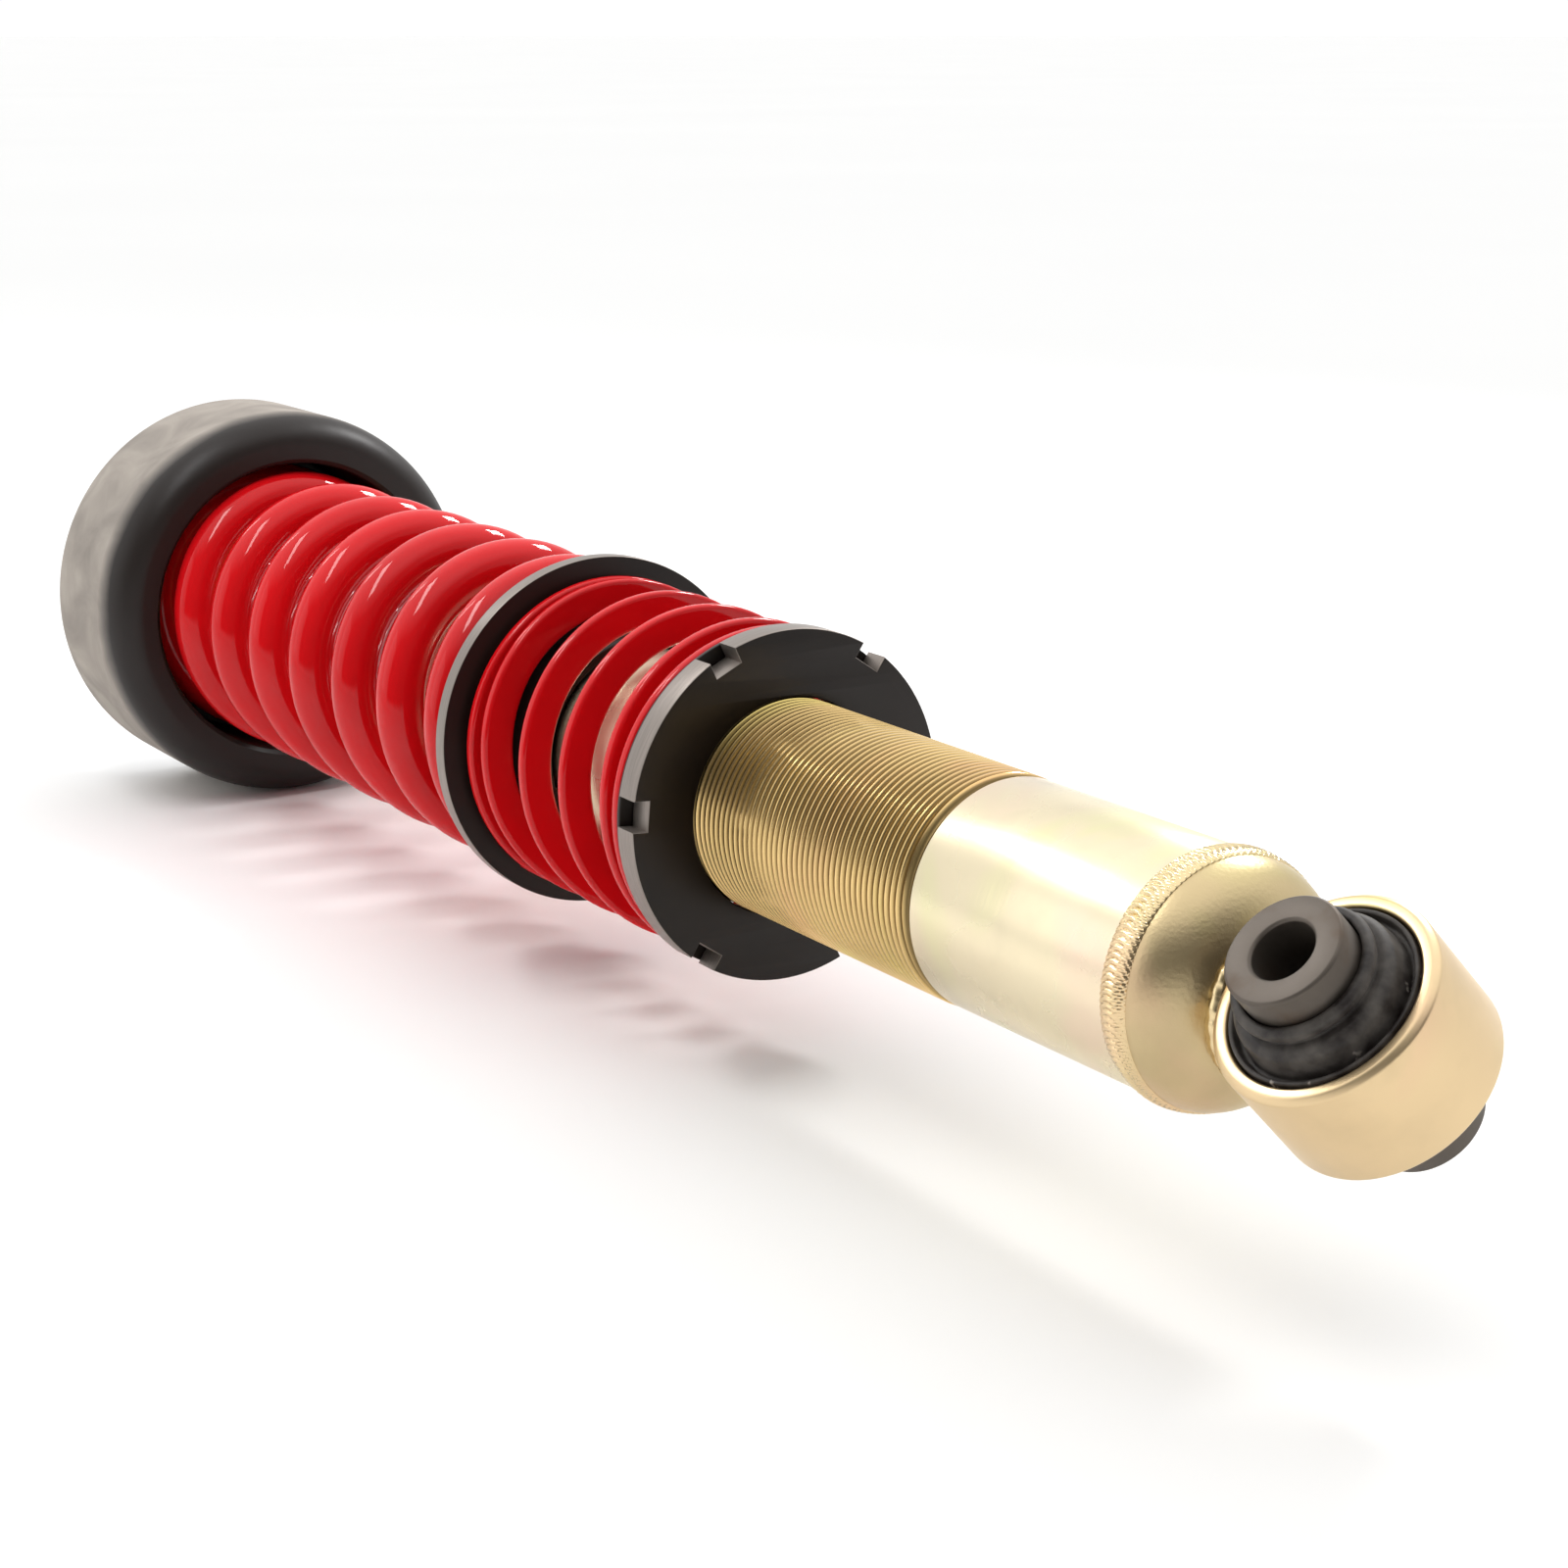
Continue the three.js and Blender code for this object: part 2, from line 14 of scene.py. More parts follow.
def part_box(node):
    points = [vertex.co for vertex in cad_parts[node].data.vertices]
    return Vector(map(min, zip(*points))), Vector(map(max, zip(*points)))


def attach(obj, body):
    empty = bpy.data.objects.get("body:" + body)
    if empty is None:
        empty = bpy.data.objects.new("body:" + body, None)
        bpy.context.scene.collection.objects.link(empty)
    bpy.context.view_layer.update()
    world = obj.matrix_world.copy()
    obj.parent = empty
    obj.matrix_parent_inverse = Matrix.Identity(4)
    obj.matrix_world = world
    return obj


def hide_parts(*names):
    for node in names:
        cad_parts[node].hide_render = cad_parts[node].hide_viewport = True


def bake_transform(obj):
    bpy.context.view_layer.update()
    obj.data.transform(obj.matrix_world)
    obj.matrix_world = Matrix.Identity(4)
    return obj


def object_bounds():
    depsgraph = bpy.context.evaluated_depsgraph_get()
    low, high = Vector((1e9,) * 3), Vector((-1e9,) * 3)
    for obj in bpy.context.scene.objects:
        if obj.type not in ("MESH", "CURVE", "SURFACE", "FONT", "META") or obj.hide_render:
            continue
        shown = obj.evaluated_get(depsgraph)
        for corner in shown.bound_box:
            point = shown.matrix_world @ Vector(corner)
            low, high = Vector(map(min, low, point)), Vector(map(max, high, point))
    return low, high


bl_info = {
    "name": "Coilover Damper",
    "version": (1, 0, 0),
    "blender": (4, 5, 0),
    "location": "View3D > Sidebar > Coilover",
    "description": "Finished pieces, finishes and studio for a coilover damper",
    "category": "Object",
}

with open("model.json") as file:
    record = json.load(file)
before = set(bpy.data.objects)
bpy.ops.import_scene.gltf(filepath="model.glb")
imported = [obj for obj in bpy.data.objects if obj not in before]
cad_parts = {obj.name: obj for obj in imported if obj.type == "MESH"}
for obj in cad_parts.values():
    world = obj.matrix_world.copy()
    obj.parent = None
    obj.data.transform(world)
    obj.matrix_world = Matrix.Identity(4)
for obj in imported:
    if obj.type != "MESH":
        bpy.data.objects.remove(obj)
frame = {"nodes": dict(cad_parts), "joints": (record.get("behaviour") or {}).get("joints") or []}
CAD_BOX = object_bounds()

TAU = 2 * math.pi
GAP = 0.0003  # assembly gap between neighbouring pieces
SMOOTH_ANGLE = math.radians(35)  # edges sharper than this stay crisp
MERGE_DISTANCE = 2e-6  # points closer than this become one
STUD_PITCH = 0.00125
THREAD_CORE = 0.0006  # radius of the thin hole left along a solid thread


# ---- places taken from the frame --------------------------------------------------------------
def ends(node):
    """Where a piece starts and ends along the shock."""
    low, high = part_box(node)
    return low.x, high.x


def radius_of(node):
    """Outer radius of a piece turned about the shock's axis."""
    low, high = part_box(node)
    return (high.z - low.z) / 2


def joint(name):
    return next(j for j in frame["joints"] if j["name"] == name)


EYE_CENTRE = Vector(joint("bush_twist")["pos_m"])
EYE_AXIS = Vector(joint("bush_twist")["axis"]).normalized()
EYE_TURN = Vector((1, 0, 0)).rotation_difference(EYE_AXIS).to_matrix().to_4x4()
ABOUT_EYE = Matrix.Translation(EYE_CENTRE) @ EYE_TURN  # its local X runs along the eye
ABOUT_SHOCK = Matrix.Identity(4)


# ---- mesh helpers -----------------------------------------------------------------------------
def finished_piece(name, build, finish):
    """Makes the object for a bmesh, shades it smooth between its crisp edges and paints it."""
    bmesh.ops.remove_doubles(build, verts=build.verts, dist=MERGE_DISTANCE)
    bmesh.ops.recalc_face_normals(build, faces=build.faces)
    mesh = bpy.data.meshes.new(name)
    build.to_mesh(mesh)
    build.free()
    mesh.shade_smooth()
    mesh.set_sharp_from_angle(angle=SMOOTH_ANGLE)
    mesh.materials.append(finish)
    piece = bpy.data.objects.new(name, mesh)
    bpy.context.scene.collection.objects.link(piece)
    return piece


def settle(piece, body, slot, *nodes):
    """The piece rides on a body and stands for CAD nodes, which it hides; slot is not used."""
    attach(piece, body)
    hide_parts(*nodes)


def dress(finish, *nodes):
    """Gives carried-over CAD pieces a finish."""
    for node in nodes:
        materials = frame["nodes"][node].data.materials
        if not materials:
            materials.append(finish)
        for index in range(len(materials)):
            materials[index] = finish


def eased(profile, radius, steps=4, closed=True):
    """Rounds a profile's corners to a radius, or to less where its sides are short."""
    points = [Vector(point) for point in profile]
    count = len(points)
    out = []
    for i, corner in enumerate(points):
        if not closed and i in (0, count - 1):
            out.append(corner)
            continue
        before = points[i - 1] - corner
        after = points[(i + 1) % count] - corner
        reach = min(radius, before.length * 0.45, after.length * 0.45)
        start = corner + before.normalized() * reach
        finish = corner + after.normalized() * reach
        if before.angle(after, math.pi) > math.radians(165):
            out.append(corner)
            continue
        for step in range(steps + 1):
            t = step / steps
            out.append(start * (1 - t) ** 2 + corner * (2 * t * (1 - t)) + finish * t ** 2)
    return [tuple(point) for point in out]


def flat_ring(node, bore, edge):
    """Profile of a plain washer as long and as wide as its CAD piece."""
    start, end = ends(node)
    radius = radius_of(node)
    return eased([(start, bore), (end, bore), (end, radius), (start, radius)], edge)


def arc(centre_x, centre_radius, radius_x, radius_y, start, end, steps):
    """Profile points of an arc; degrees, with 0 along +X."""
    out = []
    for step in range(steps + 1):
        angle = math.radians(start + (end - start) * step / steps)
        out.append((centre_x + radius_x * math.cos(angle), centre_radius + radius_y * math.sin(angle)))
    return out


def around(place, x, radius, angle):
    """The point at x along place's X axis, a radius away from it."""
    return place @ Vector((x, radius * math.cos(angle), radius * math.sin(angle)))


def turned(name, profile, finish, sides=128, place=ABOUT_SHOCK, closed=True, warp=None):
    """Turns a profile of (x, radius) points about the X axis of place.

    warp(x, radius, angle) may move each point of a ring."""
    build = bmesh.new()
    rings = []
    for x, radius in profile:
        on_axis = radius < 1e-6
        ring = []
        for side in range(1 if on_axis else sides):
            angle = TAU * side / sides
            at, reach = warp(x, radius, angle) if warp else (x, radius)
            ring.append(build.verts.new(around(place, at, reach, angle)))
        rings.append(ring)
    pairs = list(zip(rings, rings[1:]))
    if closed:
        pairs.append((rings[-1], rings[0]))
    for first, second in pairs:
        for side in range(sides):
            onward = (side + 1) % sides
            corners = [
                first[side % len(first)],
                first[onward % len(first)],
                second[onward % len(second)],
                second[side % len(second)],
            ]
            corners = list(dict.fromkeys(corners))
            if len(corners) > 2:
                build.faces.new(corners)
    return finished_piece(name, build, finish)


def threaded(name, start, end, pitch, crest, root, core, finish, sides, place=ABOUT_SHOCK):
    """A right-hand screw thread along X, closed by a plain core inside it."""
    profile = ((0.0, 0.0), (0.1, 0.3), (0.2, 0.8), (0.3, 1.0), (0.5, 1.0), (0.6, 0.8), (0.7, 0.3), (0.8, 0.0))
    per_pitch = len(profile)
    rows = per_pitch * (int((end - start) / pitch) + 3)
    fade = pitch * 0.8
    build = bmesh.new()
    columns = []
    for side in range(sides):
        angle = TAU * side / sides
        column = []
        for row in range(rows):
            phase, height = profile[row % per_pitch]
            x = start + (row // per_pitch + phase - 1 + side / sides) * pitch
            x = min(max(x, start), end)
            near = min(1.0, (x - start) / fade, (end - x) / fade)
            radius = root + (crest - root) * height * near
            column.append(build.verts.new(around(place, x, radius, angle)))
        for x in (end, start):
            column.append(build.verts.new(around(place, x, core, angle)))
        columns.append(column)
    last = len(columns[0])
    for side in range(sides):
        this = columns[side]
        wraps = side == sides - 1
        after = columns[0] if wraps else columns[side + 1]
        shift = per_pitch if wraps else 0
        for row in range(last):
            onward = (row + 1) % last
            other = [min(r + shift, rows - 1) if r < rows else r for r in (row, onward)]
            if row == last - 1 and wraps:
                other = [row, 0]
            corners = [this[row], this[onward], after[other[1]], after[other[0]]]
            corners = list(dict.fromkeys(corners))
            if len(corners) > 2 and build.faces.get(corners) is None:
                build.faces.new(corners)
    bmesh.ops.remove_doubles(build, verts=build.verts, dist=MERGE_DISTANCE)
    bmesh.ops.dissolve_degenerate(build, edges=build.edges, dist=MERGE_DISTANCE / 2)
    return finished_piece(name, build, finish)


def coil(name, section, turns, radius, first_angle, travelled, finish, steps_per_turn=64, chamfer=0.0008):
    """Sweeps a section of (outward, along) points round a right-hand coil.

    travelled(turn) is the section's place along X after so many turns."""
    build = bmesh.new()

    def ring(turn, shrink, push):
        angle = first_angle + TAU * turn
        outward = Vector((0, math.cos(angle), math.sin(angle)))
        slope = (travelled(turn + 0.001) - travelled(turn - 0.001)) / 0.002
        forward = Vector((slope, -TAU * radius * math.sin(angle), TAU * radius * math.cos(angle))).normalized()
        across = outward.cross(forward)
        centre = outward * radius + Vector((travelled(turn), 0, 0)) + forward * push
        return [build.verts.new(centre + (outward * a + across * b) * shrink) for a, b in section]

    steps = round(turns * steps_per_turn)
    rings = [ring(0, 0.86, 0)]
    rings += [ring(turns * step / steps, 1, 0 if 0 < step < steps else chamfer * (1 - 2 * step / steps))
              for step in range(steps + 1)]
    rings.append(ring(turns, 0.86, 0))
    count = len(section)
    for first, second in zip(rings, rings[1:]):
        for side in range(count):
            onward = (side + 1) % count
            build.faces.new((first[side], first[onward], second[onward], second[side]))
    build.faces.new(rings[0])
    build.faces.new(rings[-1])
    return finished_piece(name, build, finish)


def circle(radius, points=96):
    angles = [TAU * i / points for i in range(points)]
    return [(radius * math.cos(angle), radius * math.sin(angle)) for angle in angles]


def cut_plate(name, outlines, start, thickness, bevel, finish):
    """A plate across the shock's axis: the first outline of (y, z) points is its edge, the rest holes."""
    curve = bpy.data.curves.new(name + "_outline", "CURVE")
    curve.dimensions = "2D"
    curve.fill_mode = "BOTH"
    curve.extrude = thickness / 2 - bevel
    curve.bevel_depth = bevel
    curve.bevel_resolution = 2
    curve.offset = -bevel
    for outline in outlines:
        spline = curve.splines.new("POLY")
        spline.points.add(len(outline) - 1)
        for point, (y, z) in zip(spline.points, outline):
            point.co = (y, z, 0, 1)
        spline.use_cyclic_u = True
    drawn = bpy.data.objects.new(name + "_outline", curve)
    bpy.context.scene.collection.objects.link(drawn)
    bpy.context.view_layer.update()
    mesh = bpy.data.meshes.new_from_object(drawn.evaluated_get(bpy.context.evaluated_depsgraph_get()))
    bpy.data.objects.remove(drawn)
    mesh.transform(Matrix(((0, 0, 1, start + thickness / 2), (1, 0, 0, 0), (0, 1, 0, 0), (0, 0, 0, 1))))
    build = bmesh.new()
    build.from_mesh(mesh)
    bpy.data.meshes.remove(mesh)
    return finished_piece(name, build, finish)


# ---- finish helpers ---------------------------------------------------------------------------
def new_finish(name, **constants):
    """A Principled material; constants are set on the shader's own sockets."""
    material = bpy.data.materials.new(name)
    material.use_nodes = True
    shader = material.node_tree.nodes["Principled BSDF"]
    for socket, value in constants.items():
        shader.inputs[socket.replace("_", " ")].default_value = value
    return material, material.node_tree, shader


def add(tree, kind, inputs=None, **settings):
    """Adds a shader node; an input is a value or another node's output."""
    node = tree.nodes.new("ShaderNode" + kind)
    for setting, value in settings.items():
        setattr(node, setting, value)
    for socket, value in (inputs or {}).items():
        if isinstance(value, bpy.types.NodeSocket):
            tree.links.new(value, node.inputs[socket])
        else:
            node.inputs[socket].default_value = value
    return node


def grain(tree, scale, stretch=(1, 1, 1), detail=4.0, distortion=0.0):
    """Noise in the piece's own space, in cycles a metre, stretched along the axes."""
    place = add(tree, "TexCoord").outputs["Object"]
    mapped = add(tree, "Mapping", {"Vector": place, "Scale": stretch}).outputs["Vector"]
    inputs = {"Vector": mapped, "Scale": scale, "Detail": detail, "Distortion": distortion}
    return add(tree, "TexNoise", inputs).outputs["Fac"]


def ramp(tree, factor, *stops):
    """A colour ramp through (position, colour) stops."""
    node = add(tree, "ValToRGB", {"Fac": factor})
    elements = node.color_ramp.elements
    while len(elements) < len(stops):
        elements.new(0.5)
    for element, (position, colour) in zip(elements, stops):
        element.position = position
        element.color = (*colour[:3], 1.0)
    return node.outputs["Color"]


def spread(tree, value, low, high, to_low=0.0, to_high=1.0):
    """Maps a value from one range to another, clamped."""
    inputs = {"Value": value, "From Min": low, "From Max": high, "To Min": to_low, "To Max": to_high}
    return add(tree, "MapRange", inputs).outputs["Result"]


def mixed(tree, factor, first, second, blend_type="MIX"):
    node = add(tree, "Mix", data_type="RGBA", blend_type=blend_type)
    for socket, value in ((node.inputs[0], factor), (node.inputs[6], first), (node.inputs[7], second)):
        if isinstance(value, bpy.types.NodeSocket):
            tree.links.new(value, socket)
        else:
            socket.default_value = value if isinstance(value, float) else (*value[:3], 1.0)
    return node.outputs[2]


def maths(tree, operation, first, second=0.0):
    node = add(tree, "Math", operation=operation)
    for socket, value in zip(node.inputs, (first, second)):
        if isinstance(value, bpy.types.NodeSocket):
            tree.links.new(value, socket)
        else:
            socket.default_value = value
    return node.outputs[0]


def relief(tree, shader, height, distance):
    """Bump from a height; distance is what a height of 1 stands for, in metres."""
    inputs = {"Height": height, "Distance": distance, "Strength": 1.0}
    tree.links.new(add(tree, "Bump", inputs).outputs["Normal"], shader.inputs["Normal"])


def coat(tree, shader, colour, roughness=None):
    """Links a finish's colour and, where it varies, its roughness."""
    tree.links.new(colour, shader.inputs["Base Color"])
    if roughness:
        tree.links.new(roughness, shader.inputs["Roughness"])


def along_and_radius(tree):
    """A point's place along the shock and its distance from the shock's axis."""
    parts = add(tree, "SeparateXYZ", {"Vector": add(tree, "TexCoord").outputs["Object"]})
    squares = [maths(tree, "POWER", parts.outputs[axis], 2.0) for axis in ("Y", "Z")]
    return parts.outputs["X"], maths(tree, "SQRT", maths(tree, "ADD", *squares))


def darker(colour, share):
    return tuple(channel * share for channel in colour[:3])


# ---- finishes ---------------------------------------------------------------------------------
def red_coat(colours):
    """Glossy red powder coat: clear gloss over pigment, with a faint orange peel."""
    material, tree, shader = new_finish(
        "red_coat", Roughness=0.5, Specular_IOR_Level=0.0, Coat_Weight=0.8, Coat_Roughness=0.04, Coat_IOR=1.42
    )
    red = colours.red
    cloud = grain(tree, 22.0)
    coat(tree, shader, ramp(tree, cloud, (0.3, darker(red, 0.82)), (0.7, red)))
    peel = grain(tree, 420.0, detail=2.0)
    pits = spread(tree, grain(tree, 160.0, detail=6.0), 0.68, 0.76)
    relief(tree, shader, maths(tree, "SUBTRACT", peel, maths(tree, "MULTIPLY", pits, 1.5)), 0.00003)
    return material


def gold_tints(tree, gold):
    """Yellow zinc's drift between straw, rose and green."""
    rose = (gold[0] * 1.03, gold[1] * 0.91, gold[2] * 1.0)
    green = (gold[0] * 0.9, gold[1] * 1.01, gold[2] * 0.8)
    drift = grain(tree, 26.0, stretch=(1, 0.7, 0.7), detail=3.0, distortion=0.6)
    return ramp(tree, drift, (0.3, rose), (0.46, gold), (0.58, darker(gold, 0.97)), (0.72, green))


def gold_zinc(name, gold, roughness, blast=0.0, brush=0.0):
    """Yellow-passivated zinc; blast gives a blasted grain, brush fine marks round the shock."""
    material, tree, shader = new_finish(name, Metallic=1.0)
    base = gold_tints(tree, gold)
    smudge = spread(tree, grain(tree, 90.0, detail=3.0), 0.5, 0.85)
    wear = grain(tree, 60.0, detail=3.0)
    rough = spread(tree, wear, 0.2, 0.8, roughness * 0.88, roughness * 1.14)
    coat(tree, shader, mixed(tree, smudge, base, darker(gold, 0.9)), rough)
    marks = grain(tree, 1.0, stretch=(2600, 60, 60), detail=3.0)
    blasted = grain(tree, 1100.0, detail=3.0)
    height = maths(tree, "ADD", maths(tree, "MULTIPLY", marks, brush), maths(tree, "MULTIPLY", blasted, blast))
    relief(tree, shader, height, 0.00002)
    return material


def thread_gold(colours, crest, depth):
    """The same zinc on the thread, its roots darkened with painted shade."""
    material, tree, shader = new_finish("thread_gold", Metallic=1.0)
    _, radius = along_and_radius(tree)
    rooted = spread(tree, radius, crest - depth * 0.75, crest - depth * 0.08)
    gold = colours.gold
    deep = (gold[0] * 1.1, gold[1] * 0.98, gold[2] * 0.74)
    # painted shade: the thread's roots are darkened to a near-black brown, deepest at the root
    painted_root_shade = darker(deep, 0.27)
    stain = spread(tree, grain(tree, 45.0, detail=6.0), 0.4, 0.75, 1.0, 0.82)
    lit = mixed(tree, 1.0, gold_tints(tree, deep), stain, "MULTIPLY")
    coat(tree, shader, mixed(tree, rooted, painted_root_shade, lit), spread(tree, rooted, 0.0, 1.0, 0.5, 0.19))
    relief(tree, shader, grain(tree, 1.0, stretch=(3000, 90, 90)), 0.00001)
    return material


def black_anodised(colours):
    """Satin black anodising with faint turning marks on its faces."""
    material, tree, shader = new_finish("black_anodised", Metallic=0.35, Specular_IOR_Level=0.45)
    _, radius = along_and_radius(tree)
    rings = add(tree, "TexNoise", {"W": radius, "Scale": 2600.0, "Detail": 2.0}, noise_dimensions="1D")
    cloud = grain(tree, 40.0, detail=6.0)
    black = colours.black
    shade = ramp(tree, cloud, (0.35, darker(black, 0.75)), (0.7, darker(black, 1.25)))
    coat(tree, shader, shade, spread(tree, cloud, 0.3, 0.7, 0.33, 0.44))
    relief(tree, shader, rings.outputs["Fac"], 0.00001)
    return material


def turned_edge(colours):
    """The bright-turned rims of the black rings, dulled by the anodising."""
    material, tree, shader = new_finish("turned_edge", Metallic=0.8)
    grey = colours.edge
    streaks = grain(tree, 1.0, stretch=(3200, 120, 120), detail=3.0)
    shade = ramp(tree, streaks, (0.3, darker(grey, 0.85)), (0.7, darker(grey, 1.1)))
    coat(tree, shader, shade, spread(tree, grain(tree, 70.0), 0.3, 0.7, 0.34, 0.44))
    relief(tree, shader, streaks, 0.00001)
    return material


def cup_rubber(colours, dust_and_sheen_end):
    """Moulded rubber: a mottled outer wall, pale grey from dust and from a painted sheen, that gives way to a
    dark, handled shoulder.
    """
    material, tree, shader = new_finish("cup_rubber", Specular_IOR_Level=0.3)
    along, radius = along_and_radius(tree)
    ragged = maths(tree, "ADD", along, maths(tree, "MULTIPLY", grain(tree, 30.0), 0.006))
    outside = spread(tree, radius, 0.0545, 0.058)
    wall = spread(tree, ragged, dust_and_sheen_end + 0.008, dust_and_sheen_end)
    mottle = spread(tree, grain(tree, 55.0, detail=9.0, distortion=0.8), 0.25, 0.7, 0.55, 1.0)
    # painted sheen: the outer wall's pale grey is partly dust and partly a painted sheen of light off the wall
    dust_and_sheen_mask = maths(tree, "MULTIPLY", maths(tree, "MULTIPLY", outside, wall), mottle)
    shade = mixed(tree, dust_and_sheen_mask, colours.rubber, colours.dust_and_sheen)
    coat(tree, shader, shade, spread(tree, dust_and_sheen_mask, 0.0, 0.8, 0.42, 0.85))
    skin = maths(tree, "ADD", grain(tree, 260.0, detail=6.0), maths(tree, "MULTIPLY", grain(tree, 35.0), 2.0))
    relief(tree, shader, skin, 0.00006)
    return material


def bush_rubber(colours):
    """Moulded bush rubber with grey bloom and a few pale scuffs."""
    material, tree, shader = new_finish("bush_rubber", Specular_IOR_Level=0.4)
    bloom = spread(tree, grain(tree, 210.0, detail=9.0), 0.35, 0.75)
    scuffs = spread(tree, grain(tree, 330.0, stretch=(1, 0.5, 0.5), detail=3.0), 0.7, 0.76)
    base = mixed(tree, bloom, colours.rubber, darker(colours.dust_and_sheen, 0.26))
    shade = mixed(tree, scuffs, base, darker(colours.dust_and_sheen, 0.9))
    coat(tree, shader, shade, spread(tree, bloom, 0.0, 1.0, 0.5, 0.74))
    relief(tree, shader, grain(tree, 700.0, detail=6.0), 0.00006)
    return material


def metal(name, colour, roughness, stretch=(1, 1, 1), scale=300.0, contrast=0.12, depth=0.00001):
    """A turned or plated metal with grain along stretch."""
    material, tree, shader = new_finish(name, Metallic=1.0)
    fine = grain(tree, scale, stretch=stretch, detail=5.0)
    shade = ramp(tree, fine, (0.3, darker(colour, 1 - contrast)), (0.7, darker(colour, 1 + contrast)))
    wear = grain(tree, 80.0, detail=6.0)
    coat(tree, shader, shade, spread(tree, wear, 0.3, 0.7, roughness * 0.85, roughness * 1.2))
    relief(tree, shader, fine, depth)
    return material


def bush_steel(colours):
    """Dull turned steel with brown stains."""
    material, tree, shader = new_finish("bush_steel", Metallic=0.75)
    steel = colours.steel
    stain = grain(tree, 120.0, detail=9.0)
    rust = (steel[0] * 0.95, steel[1] * 0.82, steel[2] * 0.72)
    shade = ramp(tree, stain, (0.3, darker(steel, 0.8)), (0.55, steel), (0.78, rust))
    coat(tree, shader, shade, spread(tree, stain, 0.3, 0.75, 0.4, 0.58))
    relief(tree, shader, grain(tree, 900.0, detail=5.0), 0.00002)
    return material


def bump_foam(colours):
    """Yellow microcellular foam with open pores, darkened with painted shade."""
    material, tree, shader = new_finish("bump_foam", Roughness=0.85, Sheen_Weight=0.2)
    pores = add(tree, "TexVoronoi", {"Vector": add(tree, "TexCoord").outputs["Object"], "Scale": 1400.0})
    depth = spread(tree, pores.outputs["Distance"], 0.1, 0.5)
    tone = ramp(tree, grain(tree, 60.0), (0.3, darker(colours.foam, 0.8)), (0.7, colours.foam))
    # painted shade: each pore's colour darkens toward its middle
    coat(tree, shader, mixed(tree, depth, darker(colours.foam, 0.55), tone))
    relief(tree, shader, depth, 0.0001)
    return material


def seal_polymer(colours):
    """Filled polymer of the piston band and rebound stop."""
    material, tree, shader = new_finish("seal_polymer")
    fleck = spread(tree, grain(tree, 1200.0), 0.6, 0.7)
    shade = mixed(tree, fleck, colours.polymer, darker(colours.polymer, 2.2))
    coat(tree, shader, shade, spread(tree, fleck, 0.0, 1.0, 0.55, 0.7))
    return material


def floor_paint(colour):
    """Pale studio floor, a little uneven."""
    material, tree, shader = new_finish("floor_paint", Specular_IOR_Level=0.2)
    drift = grain(tree, 1.4, detail=2.0)
    tree.links.new(ramp(tree, drift, (0.3, darker(colour, 0.985)), (0.7, colour)), shader.inputs["Base Color"])
    tree.links.new(spread(tree, drift, 0.3, 0.7, 0.62, 0.72), shader.inputs["Roughness"])
    return material


# ---- settings ---------------------------------------------------------------------------------
def length(name, description, default):
    return FloatProperty(name=name, description=description, default=default, unit="LENGTH")


def turn_angle(name, description, degrees):
    return FloatProperty(name=name, description=description, default=math.radians(degrees), subtype="ANGLE")


def tint(name, description, *default):
    return FloatVectorProperty(name=name, description=description, default=default, subtype="COLOR")


class SpringSizes(bpy.types.PropertyGroup):
    """Sizes of the two springs."""

    wire: length("Wire", "Main spring's wire diameter", 0.0126)
    coil_radius: length("Coil radius", "Main spring's mean radius", 0.0351)
    pitch: length("Pitch", "Main spring's open pitch", 0.0279)
    closed_turns: FloatProperty(
        name="Closed turns", description="Turns that each closed end takes up", default=0.55
    )
    tip_angle: turn_angle("Lower tip", "Lower tip's place round the shock", 76.7)
    helper_width: length("Helper width", "Flat wire's width", 0.008)
    helper_thickness: length("Helper thickness", "Flat wire's thickness", 0.003)
    helper_pitch: length("Helper pitch", "Open pitch of the helper", 0.0195)
    helper_closed_pitch: length("Helper closed pitch", "Pitch of its touching turns", 0.0033)
    helper_upper_turns: FloatProperty(
        name="Upper closed turns", description="Touching turns at the spacer ring", default=1.6
    )
    helper_lower_turns: FloatProperty(
        name="Lower closed turns", description="Touching turns at the perch", default=1.0
    )
    helper_tip_angle: turn_angle("Helper tip", "Upper tip's place round the shock", -128.5)


class CollarSizes(bpy.types.PropertyGroup):
    """Sizes of the threaded collar's spanner slots."""

    slots: IntProperty(name="Slots", description="Spanner slots round the collar", default=6, min=1)
    slot_width: length("Slot width", "Width of a slot", 0.007)
    slot_depth: length("Slot depth", "Depth of a slot", 0.004)
    slot_angle: turn_angle("First slot", "First slot's place round the shock", 55.3)
    edge: length("Broken edge", "Chamfer on the collar's edges", 0.0003)


class DamperSizes(bpy.types.PropertyGroup):
    """Sizes of the damper tube's thread and welds."""

    thread_pitch: length("Thread pitch", "Pitch of the height thread", 0.002)
    thread_depth: length("Thread depth", "Depth of the height thread", 0.0011)
    thread_end: length("Thread end", "Where the thread runs out", 0.4091)
    thread_proud: length("Thread stands proud", "Crest above the plain tube", 0.0002)
    weld_width: length("Weld width", "Width of the cap's weld bead", 0.0072)
    weld_height: length("Weld height", "Bead above the tube", 0.0007)
    ripple_height: length("Ripple height", "Height of the weld's ripples", 0.0006)
    weld_ripples: IntProperty(
        name="Weld ripples", description="Ripples round the cap's weld", default=112, min=3
    )


